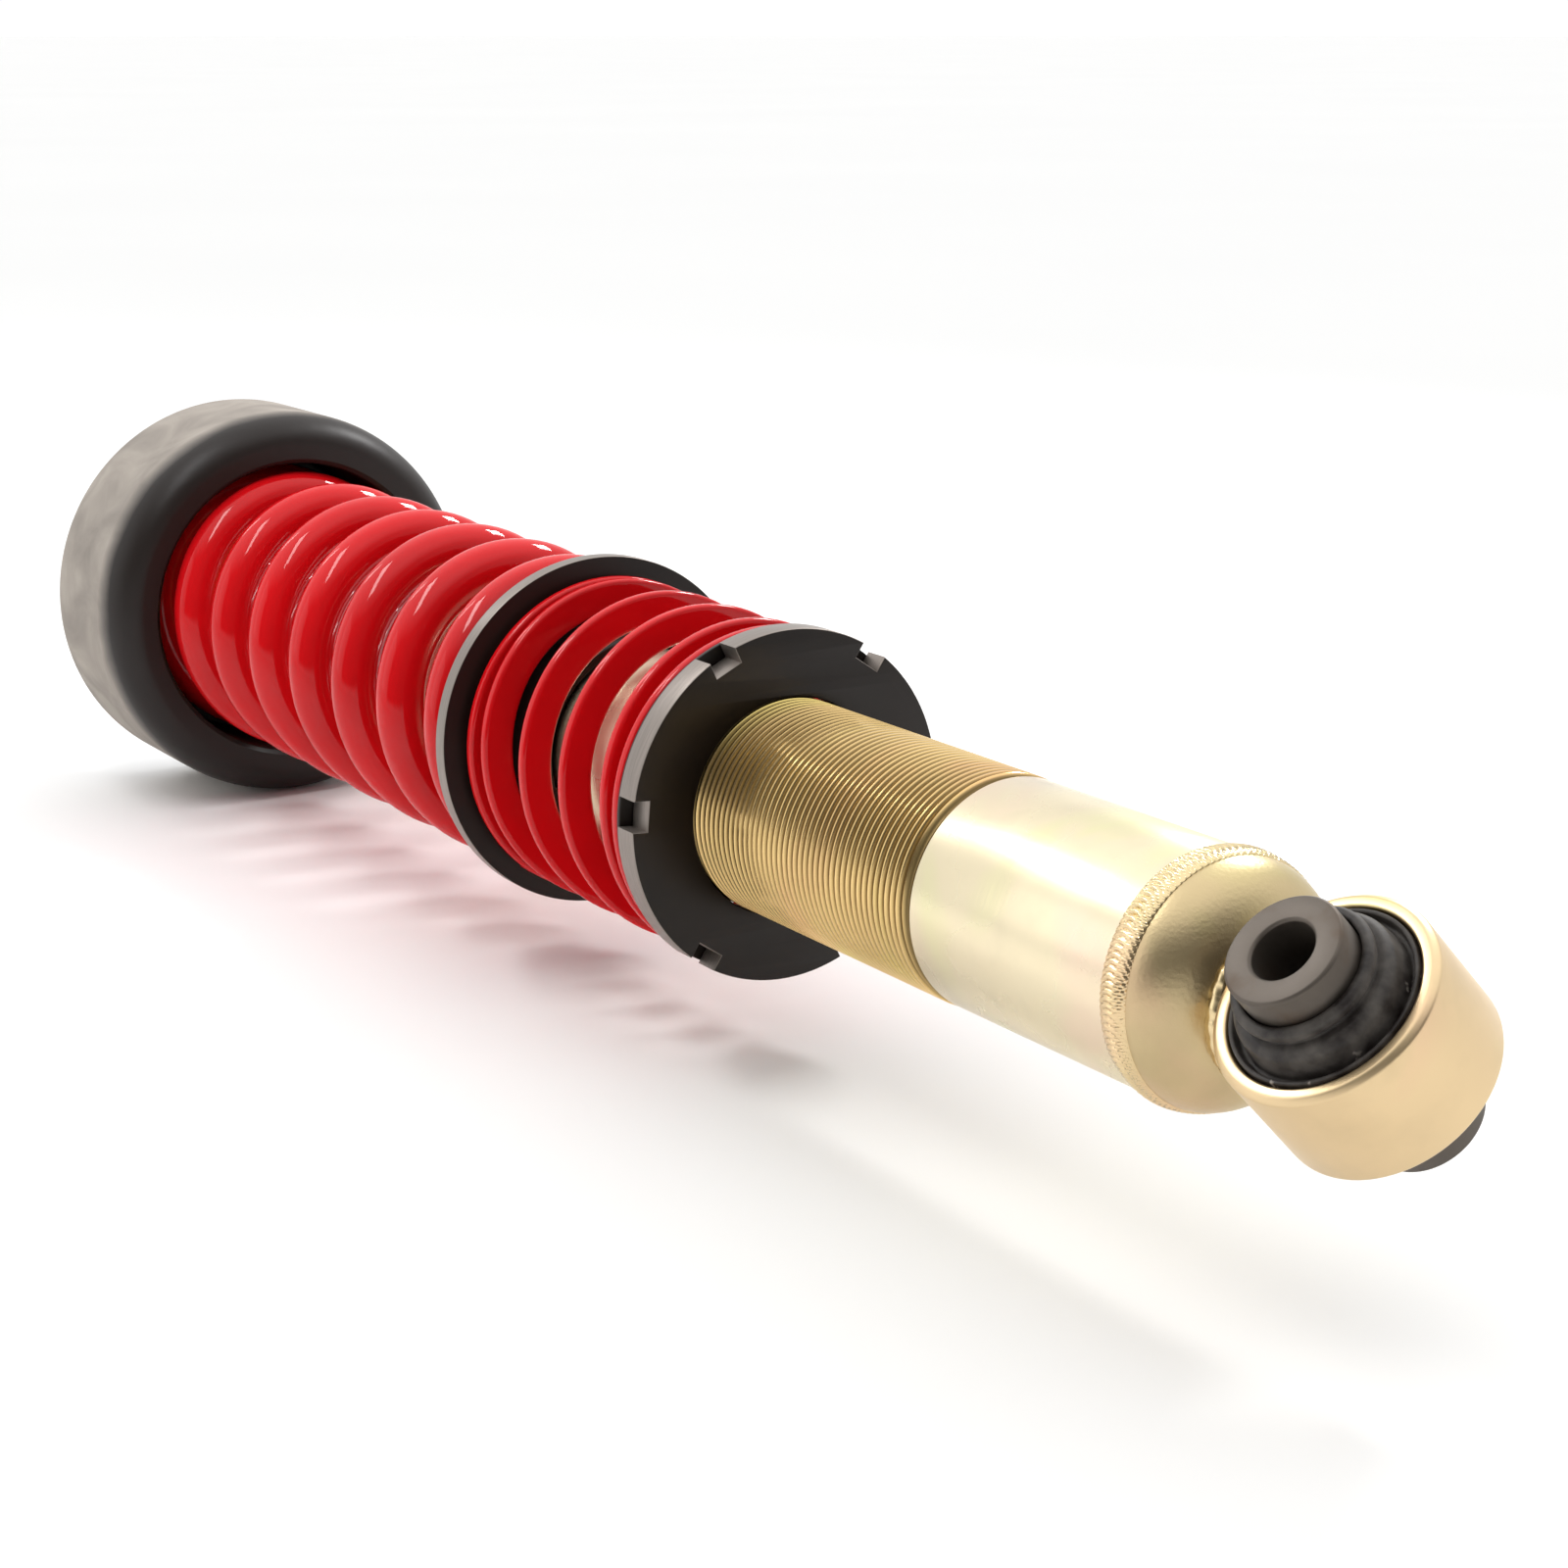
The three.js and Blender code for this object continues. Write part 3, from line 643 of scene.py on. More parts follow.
class EyeSizes(bpy.types.PropertyGroup):
    """Sizes of the end dome, the lower eye, its bush and its sleeve."""

    dome_wall: length("Dome wall", "Thickness of the end dome", 0.003)
    dome_drop: length("Dome end", "From the dome's end to the eye's centre", 0.021)
    dome_fullness: FloatProperty(
        name="Dome fullness", description="2 is an ellipse and more is fuller", default=2.3
    )
    weld_run: length("Weld run", "The eye weld's distance from the shock's axis", 0.0135)
    ring_half: length("Eye half length", "Half the eye's length", 0.013)
    ring_radius: length("Eye radius", "Outer radius of the eye", 0.0223)
    ring_bore: length("Eye bore", "Inner radius of the eye", 0.019)
    sleeve_half: length("Sleeve half length", "Half the bush sleeve's length", 0.0272)
    sleeve_radius: length("Sleeve radius", "Outer radius of the bush sleeve", 0.0116)
    sleeve_bore: length("Sleeve bore", "Radius of the bolt's hole", 0.00615)


class CoiloverColours(bpy.types.PropertyGroup):
    """Base colours of the finishes."""

    red: tint("Red coat", "Springs' powder coat", 0.66, 0.0055, 0.009)
    gold: tint("Yellow zinc", "Damper's plating", 0.76, 0.6, 0.34)
    pale_gold: tint("Pale zinc", "Plating on the turned tube", 0.8, 0.7, 0.49)
    rose_gold: tint("Rose zinc", "Plating on the lower eye", 0.77, 0.585, 0.345)
    black: tint("Black anodising", "Rings' faces", 0.012, 0.0078, 0.006)
    edge: tint("Turned edge", "Rings' rims", 0.27, 0.235, 0.21)
    rubber: tint("Rubber", "Clean rubber", 0.014, 0.0095, 0.008)
    # pale grey of the cup wall, partly dust and partly painted sheen; the bush's bloom and scuffs are tinted
    # from it
    dust_and_sheen: tint("Dust", "Dusty rubber", 0.42, 0.375, 0.33)
    steel: tint("Sleeve steel", "Bush sleeve", 0.13, 0.11, 0.092)
    plated: tint("Bright zinc", "Mount hardware", 0.52, 0.53, 0.55)
    chrome: tint("Chrome", "Piston rod", 0.72, 0.73, 0.75)
    iron: tint("Sintered iron", "Guides and valves", 0.12, 0.12, 0.125)
    foam: tint("Foam", "Bump stop", 0.62, 0.4, 0.1)
    polymer: tint("Seal polymer", "Piston band", 0.05, 0.12, 0.09)


class StudioSettings(bpy.types.PropertyGroup):
    """Camera, floor and lights."""

    camera_place: FloatVectorProperty(
        name="Camera place", description="Where the camera stands", default=(0.8631, -0.3476, 0.1738),
        subtype="TRANSLATION",
    )
    camera_tilt: turn_angle("Camera tilt", "Tilt from straight down", 75.21)
    camera_heading: turn_angle("Camera heading", "Turn about the vertical", 57.11)
    focal_length: FloatProperty(name="Focal length", description="Lens, in millimetres", default=66.55)
    floor_colour: tint("Floor", "Floor's colour", 0.94, 0.94, 0.935)
    surround: FloatProperty(name="Surround", description="Brightness of the white surround", default=1.42)
    softbox: FloatProperty(name="Softboxes", description="Brightness of the softboxes", default=1.0)


GROUPS = (
    ("coilover_springs", SpringSizes),
    ("coilover_collar", CollarSizes),
    ("coilover_damper", DamperSizes),
    ("coilover_eye", EyeSizes),
    ("coilover_colours", CoiloverColours),
    ("coilover_studio", StudioSettings),
)

FINISHES = {}


def finishes(context):
    """Every finish, made once."""
    if FINISHES:
        return FINISHES
    colours = context.scene.coilover_colours
    sizes = context.scene.coilover_damper
    crest = radius_of("damper_tube") + sizes.thread_proud
    FINISHES.update(
        red_coat=red_coat(colours),
        gold_tube=gold_zinc("gold_tube", colours.pale_gold, 0.27, brush=1.0),
        gold_blasted=gold_zinc("gold_blasted", darker(colours.gold, 0.78), 0.36, blast=3.0),
        gold_weld=gold_zinc("gold_weld", colours.gold, 0.2),
        gold_eye=gold_zinc("gold_eye", colours.rose_gold, 0.36, blast=0.4),
        thread_gold=thread_gold(colours, crest, sizes.thread_depth),
        black_anodised=black_anodised(colours),
        turned_edge=turned_edge(colours),
        cup_rubber=cup_rubber(colours, ends("isolator_cup")[1] - 0.0125),
        bush_rubber=bush_rubber(colours),
        bush_steel=bush_steel(colours),
        zinc_steel=metal("zinc_steel", colours.plated, 0.28),
        hard_chrome=metal("hard_chrome", colours.chrome, 0.08, (2000, 60, 60), 1.0, 0.03, 0.000002),
        sintered_iron=metal("sintered_iron", colours.iron, 0.5, contrast=0.4, scale=1400.0, depth=0.00004),
        bump_foam=bump_foam(colours),
        seal_polymer=seal_polymer(colours),
    )
    return FINISHES


def paint_rims(piece, rim_finish, min_radius):
    """Gives the faces that look away from the shock's axis, beyond a radius, the rim's finish."""
    piece.data.materials.append(rim_finish)
    for face in piece.data.polygons:
        reach = math.hypot(face.center.y, face.center.z)
        if abs(face.normal.x) < 0.9 and reach > min_radius:
            face.material_index = 1


# ---- top mount --------------------------------------------------------------------------------
class COILOVER_OT_isolator_cup(bpy.types.Operator):
    """Build the rubber top mount, a deep cup round the spring's first coil"""

    bl_idname = "coilover.isolator_cup"
    bl_label = "Isolator Cup"

    def execute(self, context):
        hub_back, front = ends("isolator_cup")
        radius = radius_of("isolator_cup")
        back = ends("mount_plate")[1] + GAP
        floor = ends("upper_spring_seat")[0] - GAP
        recess = radius_of("upper_spring_seat") + 0.0006
        hub_end = ends("crush_sleeve")[1]
        bore = radius_of("crush_sleeve") + GAP
        profile = eased([
            (hub_back, bore),
            (hub_end, bore),
            (hub_end, 0.023),
            (floor, 0.024),
            (floor, recess),
            (front - 0.0014, recess),
            (front, recess + 0.0014),
        ], 0.0006, closed=False)
        profile += arc(front - 0.012, radius - 0.009, 0.012, 0.009, 0, 90, 20)
        profile += eased([
            (back + 0.012, radius),
            (back + 0.0015, radius),
            (back, radius - 0.0015),
            (back, 0.0156),
            (hub_back, 0.0156),
            (hub_back, bore),
        ], 0.0006, closed=False)[:-1]
        cup = turned("isolator_cup_moulding", profile, finishes(context)["cup_rubber"], sides=160)
        settle(cup, "top_mount", "cup_rubber", "isolator_cup")
        return {"FINISHED"}


class COILOVER_OT_mount_hardware(bpy.types.Operator):
    """Build the top mount's plate, studs, washers and rod nut"""

    bl_idname = "coilover.mount_hardware"
    bl_label = "Mount Hardware"

    def execute(self, context):
        plated = finishes(context)["zinc_steel"]
        start, end = ends("mount_plate")
        plate = cut_plate(
            "mount_plate_pressing", [circle(radius_of("mount_plate")), circle(0.016)],
            start, end - start, 0.0008, plated,
        )
        settle(plate, "top_mount", "zinc_steel", "mount_plate")
        for number in (1, 2, 3):
            self.stud(f"mount_stud_{number}", plated)
        self.washer("upper_washer", plated)
        self.washer("lower_washer", plated)
        self.nut(plated)
        dress(plated, "crush_sleeve")
        return {"FINISHED"}

    def stud(self, node, plated):
        """A pressed-in stud: a low head, a plain neck and a rolled thread."""
        low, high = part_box(node)
        middle = (low + high) / 2
        place = Matrix.Translation((0, middle.y, middle.z))
        neck = 0.004
        head = turned(node + "_head", eased([
            (high.x, 0),
            (high.x, neck + 0.0017),
            (high.x - 0.0013, neck + 0.0017),
            (high.x - 0.0016, neck - 0.0003),
            (high.x - 0.003, neck - 0.0003),
            (high.x - 0.003, 0),
        ], 0.0003, closed=False), plated, sides=48, place=place, closed=False)
        settle(head, "top_mount", "zinc_steel", node)
        shank = threaded(
            node + "_thread", low.x, high.x - 0.0028, STUD_PITCH, neck, neck - 0.0007, THREAD_CORE, plated,
            sides=32, place=place,
        )
        settle(shank, "top_mount", "zinc_steel", node)

    def washer(self, node, plated):
        pressing = turned(node + "_pressing", flat_ring(node, 0.0063, 0.0006), plated)
        settle(pressing, "top_mount", "zinc_steel", node)

    def nut(self, plated):
        """A hexagon nut with the usual turned chamfers on its corners."""
        start, end = ends("rod_nut")
        flat = 0.0095
        corner = flat / math.cos(math.radians(30))
        chamfer = 0.0009

        def to_hexagon(x, radius, angle):
            limit = flat / math.cos((angle % math.radians(60)) - math.radians(30))
            return x, min(radius, limit) if radius > flat * 0.9 else radius

        profile = [
            (start + 0.0006, 0.0059), (end - 0.0006, 0.0059), (end, 0.0066), (end, flat - 0.0004),
            (end - chamfer, corner), (start + chamfer, corner), (start, flat - 0.0004), (start, 0.0066),
        ]
        nut = turned("rod_nut_hexagon", profile, plated, sides=144, warp=to_hexagon)
        settle(nut, "top_mount", "zinc_steel", "rod_nut")


class COILOVER_OT_rod_and_stop(bpy.types.Operator):
    """Build the piston rod with its threaded end, and the foam bump stop on it"""

    bl_idname = "coilover.rod_and_stop"
    bl_label = "Rod and Bump Stop"

    def execute(self, context):
        made = finishes(context)
        start, end = ends("piston_rod")
        rod_radius = radius_of("piston_rod")
        shoulder = ends("bump_stop")[0]
        piston_shoulder = ends("rebound_stop")[0] - GAP
        thread_radius = 0.006
        thread_end = ends("rod_nut")[0] + 0.001
        rod = turned("piston_rod_ground", eased([
            (end, 0),
            (end, thread_radius),
            (piston_shoulder, thread_radius),
            (piston_shoulder, rod_radius),
            (shoulder, rod_radius),
            (shoulder, thread_radius - 0.0004),
            (thread_end, thread_radius - 0.0004),
            (thread_end, 0),
        ], 0.0008, closed=False), made["hard_chrome"], sides=96, closed=False)
        settle(rod, "top_mount", "hard_chrome", "piston_rod")
        tail = threaded(
            "piston_rod_thread", start, thread_end + 0.0005, STUD_PITCH, thread_radius - 0.0002,
            thread_radius - 0.0009, THREAD_CORE, made["zinc_steel"], sides=48,
        )
        settle(tail, "top_mount", "hard_chrome", "piston_rod")
        settle(self.bump_stop(made["bump_foam"]), "top_mount", "bump_foam", "bump_stop")
        return {"FINISHED"}

    def bump_stop(self, foam):
        """Foam with three folds, narrowing towards its free end."""
        start, end = ends("bump_stop")
        bore = radius_of("piston_rod") + GAP
        folds = 3
        steps = 60
        outside = []
        for step in range(steps + 1):
            t = step / steps
            radius = 0.0208 - 0.0036 * t + 0.0014 * math.cos(TAU * folds * t)
            rounding = 0.003 * (1 - math.sqrt(max(0.0, 1 - max(0.0, (t - 0.93) / 0.07) ** 2)))
            outside.append((start + (end - start) * t, radius - rounding))
        profile = [(start, bore), (end, bore)] + outside[::-1]
        return turned("bump_stop_foam", profile, foam, sides=96)


# ---- springs and their seats ------------------------------------------------------------------
def closed_end_climb(turns_from_tip, pitch, closed):
    """How far a closed-ended spring climbs from its tip: nothing at first, then full pitch."""
    ease = min(max((turns_from_tip - closed + 0.25) / 0.5, 0.0), 1.0)
    eased_in = 0.5 * ease ** 3 * (2 - ease)
    beyond = max(turns_from_tip - closed - 0.25, 0.0)
    return pitch * (0.5 * eased_in + beyond)


class COILOVER_OT_main_spring(bpy.types.Operator):
    """Build the red main spring"""

    bl_idname = "coilover.main_spring"
    bl_label = "Main Spring"

    def execute(self, context):
        sizes = context.scene.coilover_springs
        low, high = ends("main_spring")
        first = low + sizes.wire / 2
        span = high - sizes.wire / 2 - first
        turns = span / sizes.pitch + 2 * sizes.closed_turns
        half_climb = closed_end_climb(turns / 2, sizes.pitch, sizes.closed_turns)

        def travelled(turn):
            near = min(turn, turns - turn)
            climb = closed_end_climb(near, sizes.pitch, sizes.closed_turns) * span / (2 * half_climb)
            return first + (climb if turn <= turns / 2 else span - climb)

        spring = coil(
            "main_spring_coil", circle(sizes.wire / 2, 32), turns, sizes.coil_radius,
            sizes.tip_angle - TAU * turns, travelled, finishes(context)["red_coat"],
            steps_per_turn=84, chamfer=0.001,
        )
        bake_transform(spring)
        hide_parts("main_spring")
        return {"FINISHED"}


class COILOVER_OT_helper_spring(bpy.types.Operator):
    """Build the flat-wire helper spring"""

    bl_idname = "coilover.helper_spring"
    bl_label = "Helper Spring"

    def execute(self, context):
        sizes = context.scene.coilover_springs
        low, high = ends("helper_spring")
        first = low + sizes.helper_thickness / 2
        last = high - sizes.helper_thickness / 2
        closed = sizes.helper_upper_turns + sizes.helper_lower_turns
        open_turns = (last - first - sizes.helper_closed_pitch * closed) / sizes.helper_pitch
        mean_radius = radius_of("perch_washer") - 0.0005 - sizes.helper_width / 2

        def travelled(turn):
            opened = min(max(turn - sizes.helper_upper_turns, 0.0), open_turns)
            return first + sizes.helper_pitch * opened + sizes.helper_closed_pitch * (turn - opened)

        def eased_travel(turn):
            window = 0.12
            samples = [travelled(turn + window * (i - 4) / 4) for i in range(9)]
            return min(max(sum(samples) / 9, first), last)

        half = sizes.helper_width / 2
        thin = sizes.helper_thickness / 2
        corners = [(-half, -thin), (half, -thin), (half, thin), (-half, thin)]
        spring = coil(
            "helper_spring_coil", eased(corners, 0.0012, steps=5), closed + open_turns, mean_radius,
            sizes.helper_tip_angle, eased_travel, finishes(context)["red_coat"],
            steps_per_turn=96, chamfer=0.0004,
        )
        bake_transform(spring)
        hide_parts("helper_spring")
        return {"FINISHED"}


class COILOVER_OT_spring_seats(bpy.types.Operator):
    """Build the upper spring seat, the spacer ring between the springs and the perch's washer"""

    bl_idname = "coilover.spring_seats"
    bl_label = "Spring Seats"

    def execute(self, context):
        made = finishes(context)
        spigot = context.scene.coilover_springs.coil_radius - context.scene.coilover_springs.wire / 2 - 0.0006
        self.upper_seat(made, spigot)
        self.spacer_ring(made, spigot)
        self.perch_washer(made)
        return {"FINISHED"}

    def upper_seat(self, made, spigot):
        start, end = ends("upper_spring_seat")
        face = ends("main_spring")[0] - GAP
        radius = radius_of("upper_spring_seat")
        profile = eased([
            (start, 0.026), (end, 0.026), (end, spigot - 0.0008), (end - 0.001, spigot),
            (face, spigot), (face, radius), (start, radius),
        ], 0.0004)
        seat = turned("upper_seat_turning", profile, made["black_anodised"])
        settle(seat, "spring_carrier", "black_anodised", "upper_spring_seat")

    def spacer_ring(self, made, spigot):
        start, end = ends("spacer_ring")
        upper = ends("main_spring")[1] + GAP
        lower = ends("helper_spring")[0] - GAP
        radius = radius_of("spacer_ring")
        bore = radius_of("damper_tube") + 0.0006
        profile = eased([
            (start, bore), (end, bore), (end, spigot - 0.0006), (end - 0.0008, spigot),
            (lower, spigot), (lower, radius), (upper, radius), (upper, spigot),
            (start + 0.001, spigot), (start, spigot - 0.0008),
        ], 0.0003, steps=3)
        ring = turned("spacer_ring_turning", profile, made["black_anodised"], sides=192)
        paint_rims(ring, made["turned_edge"], radius - 0.0008)
        settle(ring, "spacer", "black_anodised", "spacer_ring")

    def perch_washer(self, made):
        profile = flat_ring("perch_washer", radius_of("damper_tube") + 0.0006, 0.0003)
        washer = turned("perch_washer_stamping", profile, made["black_anodised"])
        settle(washer, "perch", "black_anodised", "perch_washer")


class COILOVER_OT_threaded_collar(bpy.types.Operator):
    """Build the slotted collar that sets the ride height"""

    bl_idname = "coilover.threaded_collar"
    bl_label = "Threaded Collar"

    def execute(self, context):
        made = finishes(context)
        sizes = context.scene.coilover_collar
        start, end = ends("threaded_collar")
        radius = radius_of("spacer_ring") - 0.0032
        bore = radius_of("damper_tube") + 0.00045
        collar = cut_plate(
            "threaded_collar_cut", [self.outline(sizes, radius), circle(bore, 128)],
            start, end - start, sizes.edge, made["black_anodised"],
        )
        paint_rims(collar, made["turned_edge"], bore + 0.002)
        settle(collar, "collar", "black_anodised", "threaded_collar")
        return {"FINISHED"}

    def outline(self, sizes, radius):
        """The rim with its parallel-sided slots."""
        half = sizes.slot_width / 2
        at_rim = math.asin(half / radius)
        floor = radius - sizes.slot_depth
        step = TAU / sizes.slots
        arc_steps = 26
        points = []
        for slot in range(sizes.slots):
            middle = sizes.slot_angle + slot * step
            outward = Vector((math.cos(middle), math.sin(middle)))
            sideways = Vector((-outward.y, outward.x))
            points.append(tuple(outward * floor - sideways * half))
            points.append(tuple(outward * floor + sideways * half))
            for i in range(arc_steps + 1):
                angle = middle + at_rim + (step - 2 * at_rim) * i / arc_steps
                points.append((radius * math.cos(angle), radius * math.sin(angle)))
        return points


# ---- damper tube and its welds ----------------------------------------------------------------
class COILOVER_OT_damper_tube(bpy.types.Operator):
    """Build the plated damper tube and its height thread"""

    bl_idname = "coilover.damper_tube"
    bl_label = "Damper Tube"

    def execute(self, context):
        made = finishes(context)
        sizes = context.scene.coilover_damper
        start, end = ends("damper_tube")
        radius = radius_of("damper_tube")
        bore = radius - 0.0027
        root = radius + sizes.thread_proud - sizes.thread_depth
        thread_start = ends("threaded_collar")[0] - 0.0006
        relief_end = sizes.thread_end + 0.0009
        tube = turned("damper_tube_plain", eased([
            (start, bore),
            (end, bore),
            (end, radius),
            (relief_end + 0.0005, radius),
            (relief_end, radius - 0.0005),
            (relief_end, root - 0.0002),
            (thread_start, root - 0.0002),
            (thread_start, radius),
            (start + 0.001, radius),
            (start, radius - 0.001),
        ], 0.0002, steps=2), made["gold_tube"], sides=192)
        settle(tube, "damper_body", "gold_zinc", "damper_tube")
        thread = threaded(
            "damper_tube_thread", thread_start, sizes.thread_end, sizes.thread_pitch,
            radius + sizes.thread_proud, root, root - 0.0006, made["thread_gold"], sides=160,
        )
        settle(thread, "damper_body", "gold_zinc", "damper_tube")
        dress(made["black_anodised"], "gland_nut")
        dress(made["bush_rubber"], "rod_seal")
        dress(made["sintered_iron"], "rod_guide", "base_valve", "piston")
        dress(made["zinc_steel"], "inner_cylinder", "rebound_shims", "compression_shims", "piston_nut")
        dress(made["seal_polymer"], "rebound_stop", "piston_band")
        return {"FINISHED"}


class COILOVER_OT_end_cap(bpy.types.Operator):
    """Build the blasted end dome, the rippled weld that joins it and the fillet at the eye"""

    bl_idname = "coilover.end_cap"
    bl_label = "End Cap and Welds"

    def execute(self, context):
        made = finishes(context)
        sizes = context.scene.coilover_damper
        radius = radius_of("damper_tube")
        tube_end = ends("damper_tube")[1]
        dome_start, _ = ends("end_dome")
        eye = context.scene.coilover_eye
        height = EYE_CENTRE.x - eye.dome_drop - dome_start
        self.dome(made["gold_blasted"], eye, dome_start, height, radius)
        self.cap_weld(made["gold_weld"], sizes, (tube_end + dome_start) / 2, radius)
        self.eye_weld(made["gold_weld"], eye, dome_start, height, radius)
        return {"FINISHED"}

    def dome(self, blasted, eye, start, height, radius):
        """A pressed cap with a full shoulder."""
        wall = eye.dome_wall
        fullness = eye.dome_fullness
        outside = []
        steps = 28
        for step in range(steps + 1):
            angle = math.pi / 2 * step / steps
            along = math.cos(angle) ** (2 / fullness)
            out = math.sin(angle) ** (2 / fullness)
            outside.append((start + height * along, radius * out))
        inside = [(start, radius - wall), (start + height * 0.6, radius - wall * 2), (start + height - wall, 0)]
        profile = outside + inside
        dome = turned("end_dome_pressing", profile, blasted, sides=160, closed=False)
        settle(dome, "damper_body", "gold_zinc", "end_dome")

    def cap_weld(self, weld, sizes, middle, radius):
        """A bead whose ripples overlap like scales."""
        half = sizes.weld_width / 2
        steps = 14
        profile = [(middle + half * math.cos(math.pi * i / steps), radius - 0.0003) for i in range(steps + 1)]
        profile += [(middle - half * 0.8, radius - 0.002), (middle + half * 0.8, radius - 0.002)]

        def ripple(x, ring_radius, angle):
            if ring_radius < radius - 0.001:
                return x, ring_radius
            across = (x - middle) / half
            crown = max(0.0, 1 - across ** 2) ** 0.55
            wander = 0.1 * math.sin(7 * angle + 1.3) + 0.08 * math.sin(17 * angle)
            bow = 1.5 * across ** 2 + 0.5 * across
            phase = (bow - angle / TAU * sizes.weld_ripples + wander) % 1.0
            scale = math.sin(math.pi * phase ** 0.75)
            ridge = scale ** 0.8 * crown ** 0.5 * (0.88 + 0.12 * math.sin(11 * angle))
            return x, ring_radius + sizes.weld_height * crown + sizes.ripple_height * ridge

        bead = turned("cap_weld_bead", profile, weld, sides=sizes.weld_ripples * 10, warp=ripple)
        settle(bead, "damper_body", "gold_zinc", "cap_weld")

    def eye_weld(self, weld, eye, dome_start, height, radius):
        """A lumpy fillet in the saddle between the dome and the eye."""
        run = eye.weld_run
        fullness = eye.dome_fullness
        steps = 180
        sides = 16
        build = bmesh.new()
        rings = []
        for step in range(steps):
            angle = TAU * step / steps
            outward = Vector((0, math.cos(angle), math.sin(angle)))
            across = run * math.sqrt(1 - outward.dot(EYE_AXIS) ** 2)
            eye_x = EYE_CENTRE.x - math.sqrt(eye.ring_radius ** 2 - across ** 2)
            dome_x = dome_start + height * (1 - (run / radius) ** fullness) ** (1 / fullness)
            lump = 0.00028 * abs(math.sin(15 * angle + 0.6 * math.sin(3 * angle)))
            bead = max(0.0, eye_x - dome_x) / 2 + 0.0011 + lump
            centre = Vector(((eye_x + dome_x) / 2, 0, 0)) + outward * run
            ring = []
            for side in range(sides):
                turn = TAU * side / sides
                ring.append(build.verts.new(
                    centre + Vector((bead * math.cos(turn), 0, 0)) + outward * (bead * 0.85 * math.sin(turn))
                ))
            rings.append(ring)
        for first, second in zip(rings, rings[1:] + rings[:1]):
            for side in range(sides):
                onward = (side + 1) % sides
                build.faces.new((first[side], first[onward], second[onward], second[side]))
        bead = finished_piece("eye_weld_bead", build, weld)
        settle(bead, "damper_body", "gold_zinc", "eye_weld")


# ---- lower eye and bush -----------------------------------------------------------------------
class COILOVER_OT_lower_eye(bpy.types.Operator):
    """Build the lower eye, its stepped rubber bush and the steel sleeve"""

    bl_idname = "coilover.lower_eye"
    bl_label = "Lower Eye and Bush"

    def execute(self, context):
        made = finishes(context)
        sizes = context.scene.coilover_eye
        half = sizes.ring_half
        eye_radius = sizes.ring_radius
        bore = sizes.ring_bore
        rim = eased([
            (-half, bore + 0.0004), (-half + 0.0004, bore), (half - 0.0004, bore), (half, bore + 0.0004),
            (half, eye_radius - 0.0011), (half - 0.0011, eye_radius),
            (-half + 0.0011, eye_radius), (-half, eye_radius - 0.0011),
        ], 0.0004, steps=3)
        eye = turned("lower_eye_ring", rim, made["gold_eye"], sides=160, place=ABOUT_EYE)
        settle(eye, "damper_body", "gold_zinc", "lower_eye")
        self.rubber(made["bush_rubber"], half, bore, sizes.sleeve_radius + GAP)
        self.sleeve(made["bush_steel"], sizes)
        return {"FINISHED"}

    def rubber(self, rubber, half, bore, sleeve):
        """Outer lip, groove, broad shoulder, waist and a collar round the sleeve."""
        side = [
            (half + 0.0082, sleeve),
            (half + 0.0084, sleeve + 0.0012),
            (half + 0.0076, sleeve + 0.0021),
            (half + 0.0058, sleeve + 0.0019),
            (half + 0.0052, sleeve + 0.0009),
            (half + 0.0046, sleeve + 0.0012),
            (half + 0.0044, bore - 0.0043),
            (half + 0.0032, bore - 0.0032),
            (half + 0.0004, bore - 0.0028),
            (half - 0.0018, bore - 0.0025),
            (half - 0.0018, bore - 0.0016),
            (half + 0.0001, bore - 0.0013),
            (half + 0.0002, bore - 0.0005),
            (half - 0.0012, bore - 0.0003),
        ]
        profile = side + [(-x, radius) for x, radius in reversed(side)]
        bush = turned("bush_rubber_moulding", eased(profile, 0.0006), rubber, sides=160, place=ABOUT_EYE)
        settle(bush, "damper_body", "bush_rubber", "bush_rubber")

    def sleeve(self, steel, sizes):
        """A cut length of thick tube with broken edges."""
        half = sizes.sleeve_half
        outer = sizes.sleeve_radius
        bore = sizes.sleeve_bore
        profile = eased([
            (-half, bore + 0.0005), (-half + 0.0005, bore), (half - 0.0005, bore), (half, bore + 0.0005),
            (half, outer - 0.0005), (half - 0.0005, outer), (-half + 0.0005, outer), (-half, outer - 0.0005),
        ], 0.0002, steps=2)
        sleeve = turned("bush_sleeve_tube", profile, steel, sides=128, place=ABOUT_EYE)
        settle(sleeve, "bush_core", "bush_steel", "bush_sleeve")


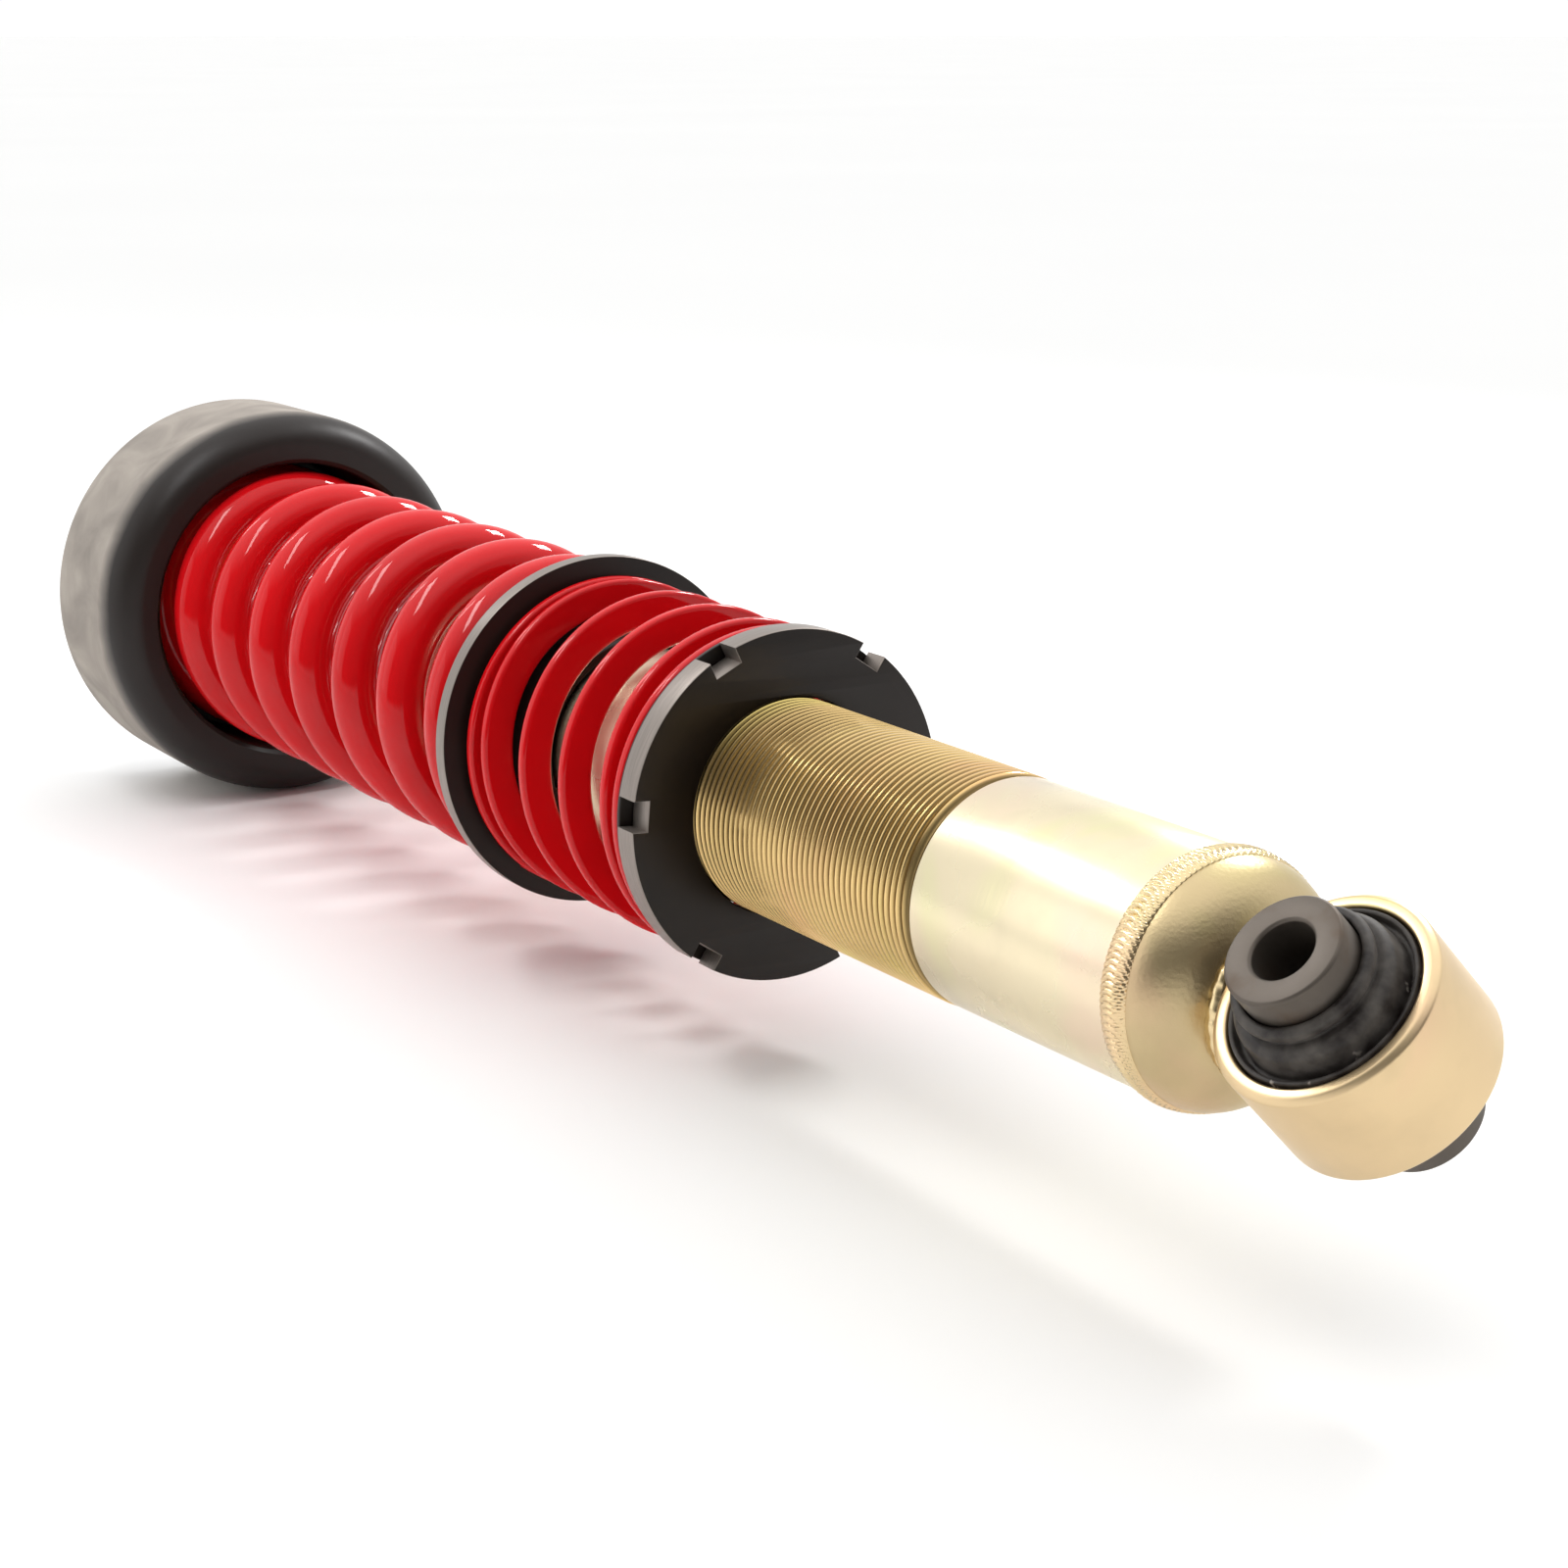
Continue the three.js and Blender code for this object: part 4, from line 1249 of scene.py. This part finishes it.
# ---- studio -----------------------------------------------------------------------------------
class COILOVER_OT_studio(bpy.types.Operator):
    """Build the floor, the white surround, the softboxes and the camera"""

    bl_idname = "coilover.studio"
    bl_label = "Studio"

    def execute(self, context):
        studio = context.scene.coilover_studio
        self.floor(studio)
        self.surround(context, studio)
        middle = (CAD_BOX[0] + CAD_BOX[1]) / 2
        boxes = (
            ("shoulder_softbox", (0.16, -0.17, 0.33), (0.24, 0.05), 0.42),
            ("crest_softbox", (0.03, 0.66, 0.6), (0.3, 0.1), 3.4),
            ("side_panel", (-0.1, -0.85, 0.3), (0.6, 0.5), 0.55),
            ("tube_strip", (-1.2, -0.3, 0.85), (0.08, 0.4), 0.8),
        )
        for name, place, size, power in boxes:
            self.softbox(name, Vector(place), middle, size, power * studio.softbox)
        self.camera(context, studio)
        return {"FINISHED"}

    def floor(self, studio):
        """A wide round floor just under the top mount, which rests on it."""
        height = CAD_BOX[0].z
        build = bmesh.new()
        rings = []
        for reach in (0.0, 0.5, 2.0, 8.0, 40.0):
            count = 64 if reach else 1
            rings.append([
                build.verts.new((reach * math.cos(TAU * i / count), reach * math.sin(TAU * i / count), height))
                for i in range(count)
            ])
        for first, second in zip(rings, rings[1:]):
            for i in range(64):
                onward = (i + 1) % 64
                corners = [first[i % len(first)], second[i], second[onward], first[onward % len(first)]]
                build.faces.new(list(dict.fromkeys(corners)))
        finished_piece("studio_floor", build, floor_paint(studio.floor_colour))

    def surround(self, context, studio):
        """White at the horizon and overhead; darker behind the camera, so that gloss stays deep."""
        world = bpy.data.worlds.new("white_surround")
        world.use_nodes = True
        tree = world.node_tree
        direction = add(tree, "SeparateXYZ", {"Vector": add(tree, "TexCoord").outputs["Generated"]})
        height = direction.outputs["Z"]
        lit_side = ramp(tree, height, (0.0, (0.72, 0.72, 0.72)), (0.5, (0.75, 0.75, 0.75)), (0.8, (1, 1, 1)))
        dark_side = ramp(tree, height, (0.02, (0.72, 0.72, 0.72)), (0.08, (0.07, 0.066, 0.06)),
                         (0.6, (0.13, 0.128, 0.125)), (0.92, (1, 1, 1)))
        forward = maths(tree, "SUBTRACT", maths(tree, "MULTIPLY", direction.outputs["X"], 0.84),
                        maths(tree, "MULTIPLY", direction.outputs["Y"], 0.54))
        shade = mixed(tree, spread(tree, forward, 0.0, 0.6), lit_side, dark_side)
        sky = tree.nodes["Background"]
        tree.links.new(shade, sky.inputs["Color"])
        sky.inputs["Strength"].default_value = studio.surround
        context.scene.world = world

    def softbox(self, name, place, target, size, power):
        light = bpy.data.lights.new(name, "AREA")
        light.shape = "RECTANGLE"
        light.size, light.size_y = size
        light.energy = power
        lamp = bpy.data.objects.new(name, light)
        lamp.location = place
        lamp.rotation_euler = (target - place).to_track_quat("-Z", "Y").to_euler()
        bpy.context.scene.collection.objects.link(lamp)

    def camera(self, context, studio):
        lens = bpy.data.cameras.new("view_camera")
        lens.lens = studio.focal_length
        lens.sensor_width = 36.0
        lens.clip_start = 0.01
        camera = bpy.data.objects.new("view_camera", lens)
        camera.location = studio.camera_place
        camera.rotation_euler = (studio.camera_tilt, 0, studio.camera_heading)
        context.scene.collection.objects.link(camera)
        context.scene.camera = camera
        context.scene.view_settings.view_transform = "Standard"


OPERATORS = (
    COILOVER_OT_isolator_cup,
    COILOVER_OT_mount_hardware,
    COILOVER_OT_rod_and_stop,
    COILOVER_OT_spring_seats,
    COILOVER_OT_main_spring,
    COILOVER_OT_helper_spring,
    COILOVER_OT_threaded_collar,
    COILOVER_OT_damper_tube,
    COILOVER_OT_end_cap,
    COILOVER_OT_lower_eye,
    COILOVER_OT_studio,
)


class COILOVER_PT_pieces(bpy.types.Panel):
    """Lists the damper's pieces"""

    bl_idname = "COILOVER_PT_pieces"
    bl_label = "Coilover Damper"
    bl_space_type = "VIEW_3D"
    bl_region_type = "UI"
    bl_category = "Coilover"

    def draw(self, context):
        for operator in OPERATORS:
            self.layout.operator(operator.bl_idname)
        for name, group in GROUPS:
            box = self.layout.box()
            for setting in group.__annotations__:
                box.prop(getattr(context.scene, name), setting)


def register():
    for name, group in GROUPS:
        bpy.utils.register_class(group)
        setattr(bpy.types.Scene, name, PointerProperty(type=group))
    for operator in OPERATORS:
        bpy.utils.register_class(operator)
    bpy.utils.register_class(COILOVER_PT_pieces)


def unregister():
    bpy.utils.unregister_class(COILOVER_PT_pieces)
    for operator in reversed(OPERATORS):
        bpy.utils.unregister_class(operator)
    for name, group in reversed(GROUPS):
        delattr(bpy.types.Scene, name)
        bpy.utils.unregister_class(group)


def main():
    register()
    for operator in OPERATORS:
        family, name = operator.bl_idname.split(".")
        getattr(getattr(bpy.ops, family), name)()


if __name__ == "__main__":
    main()
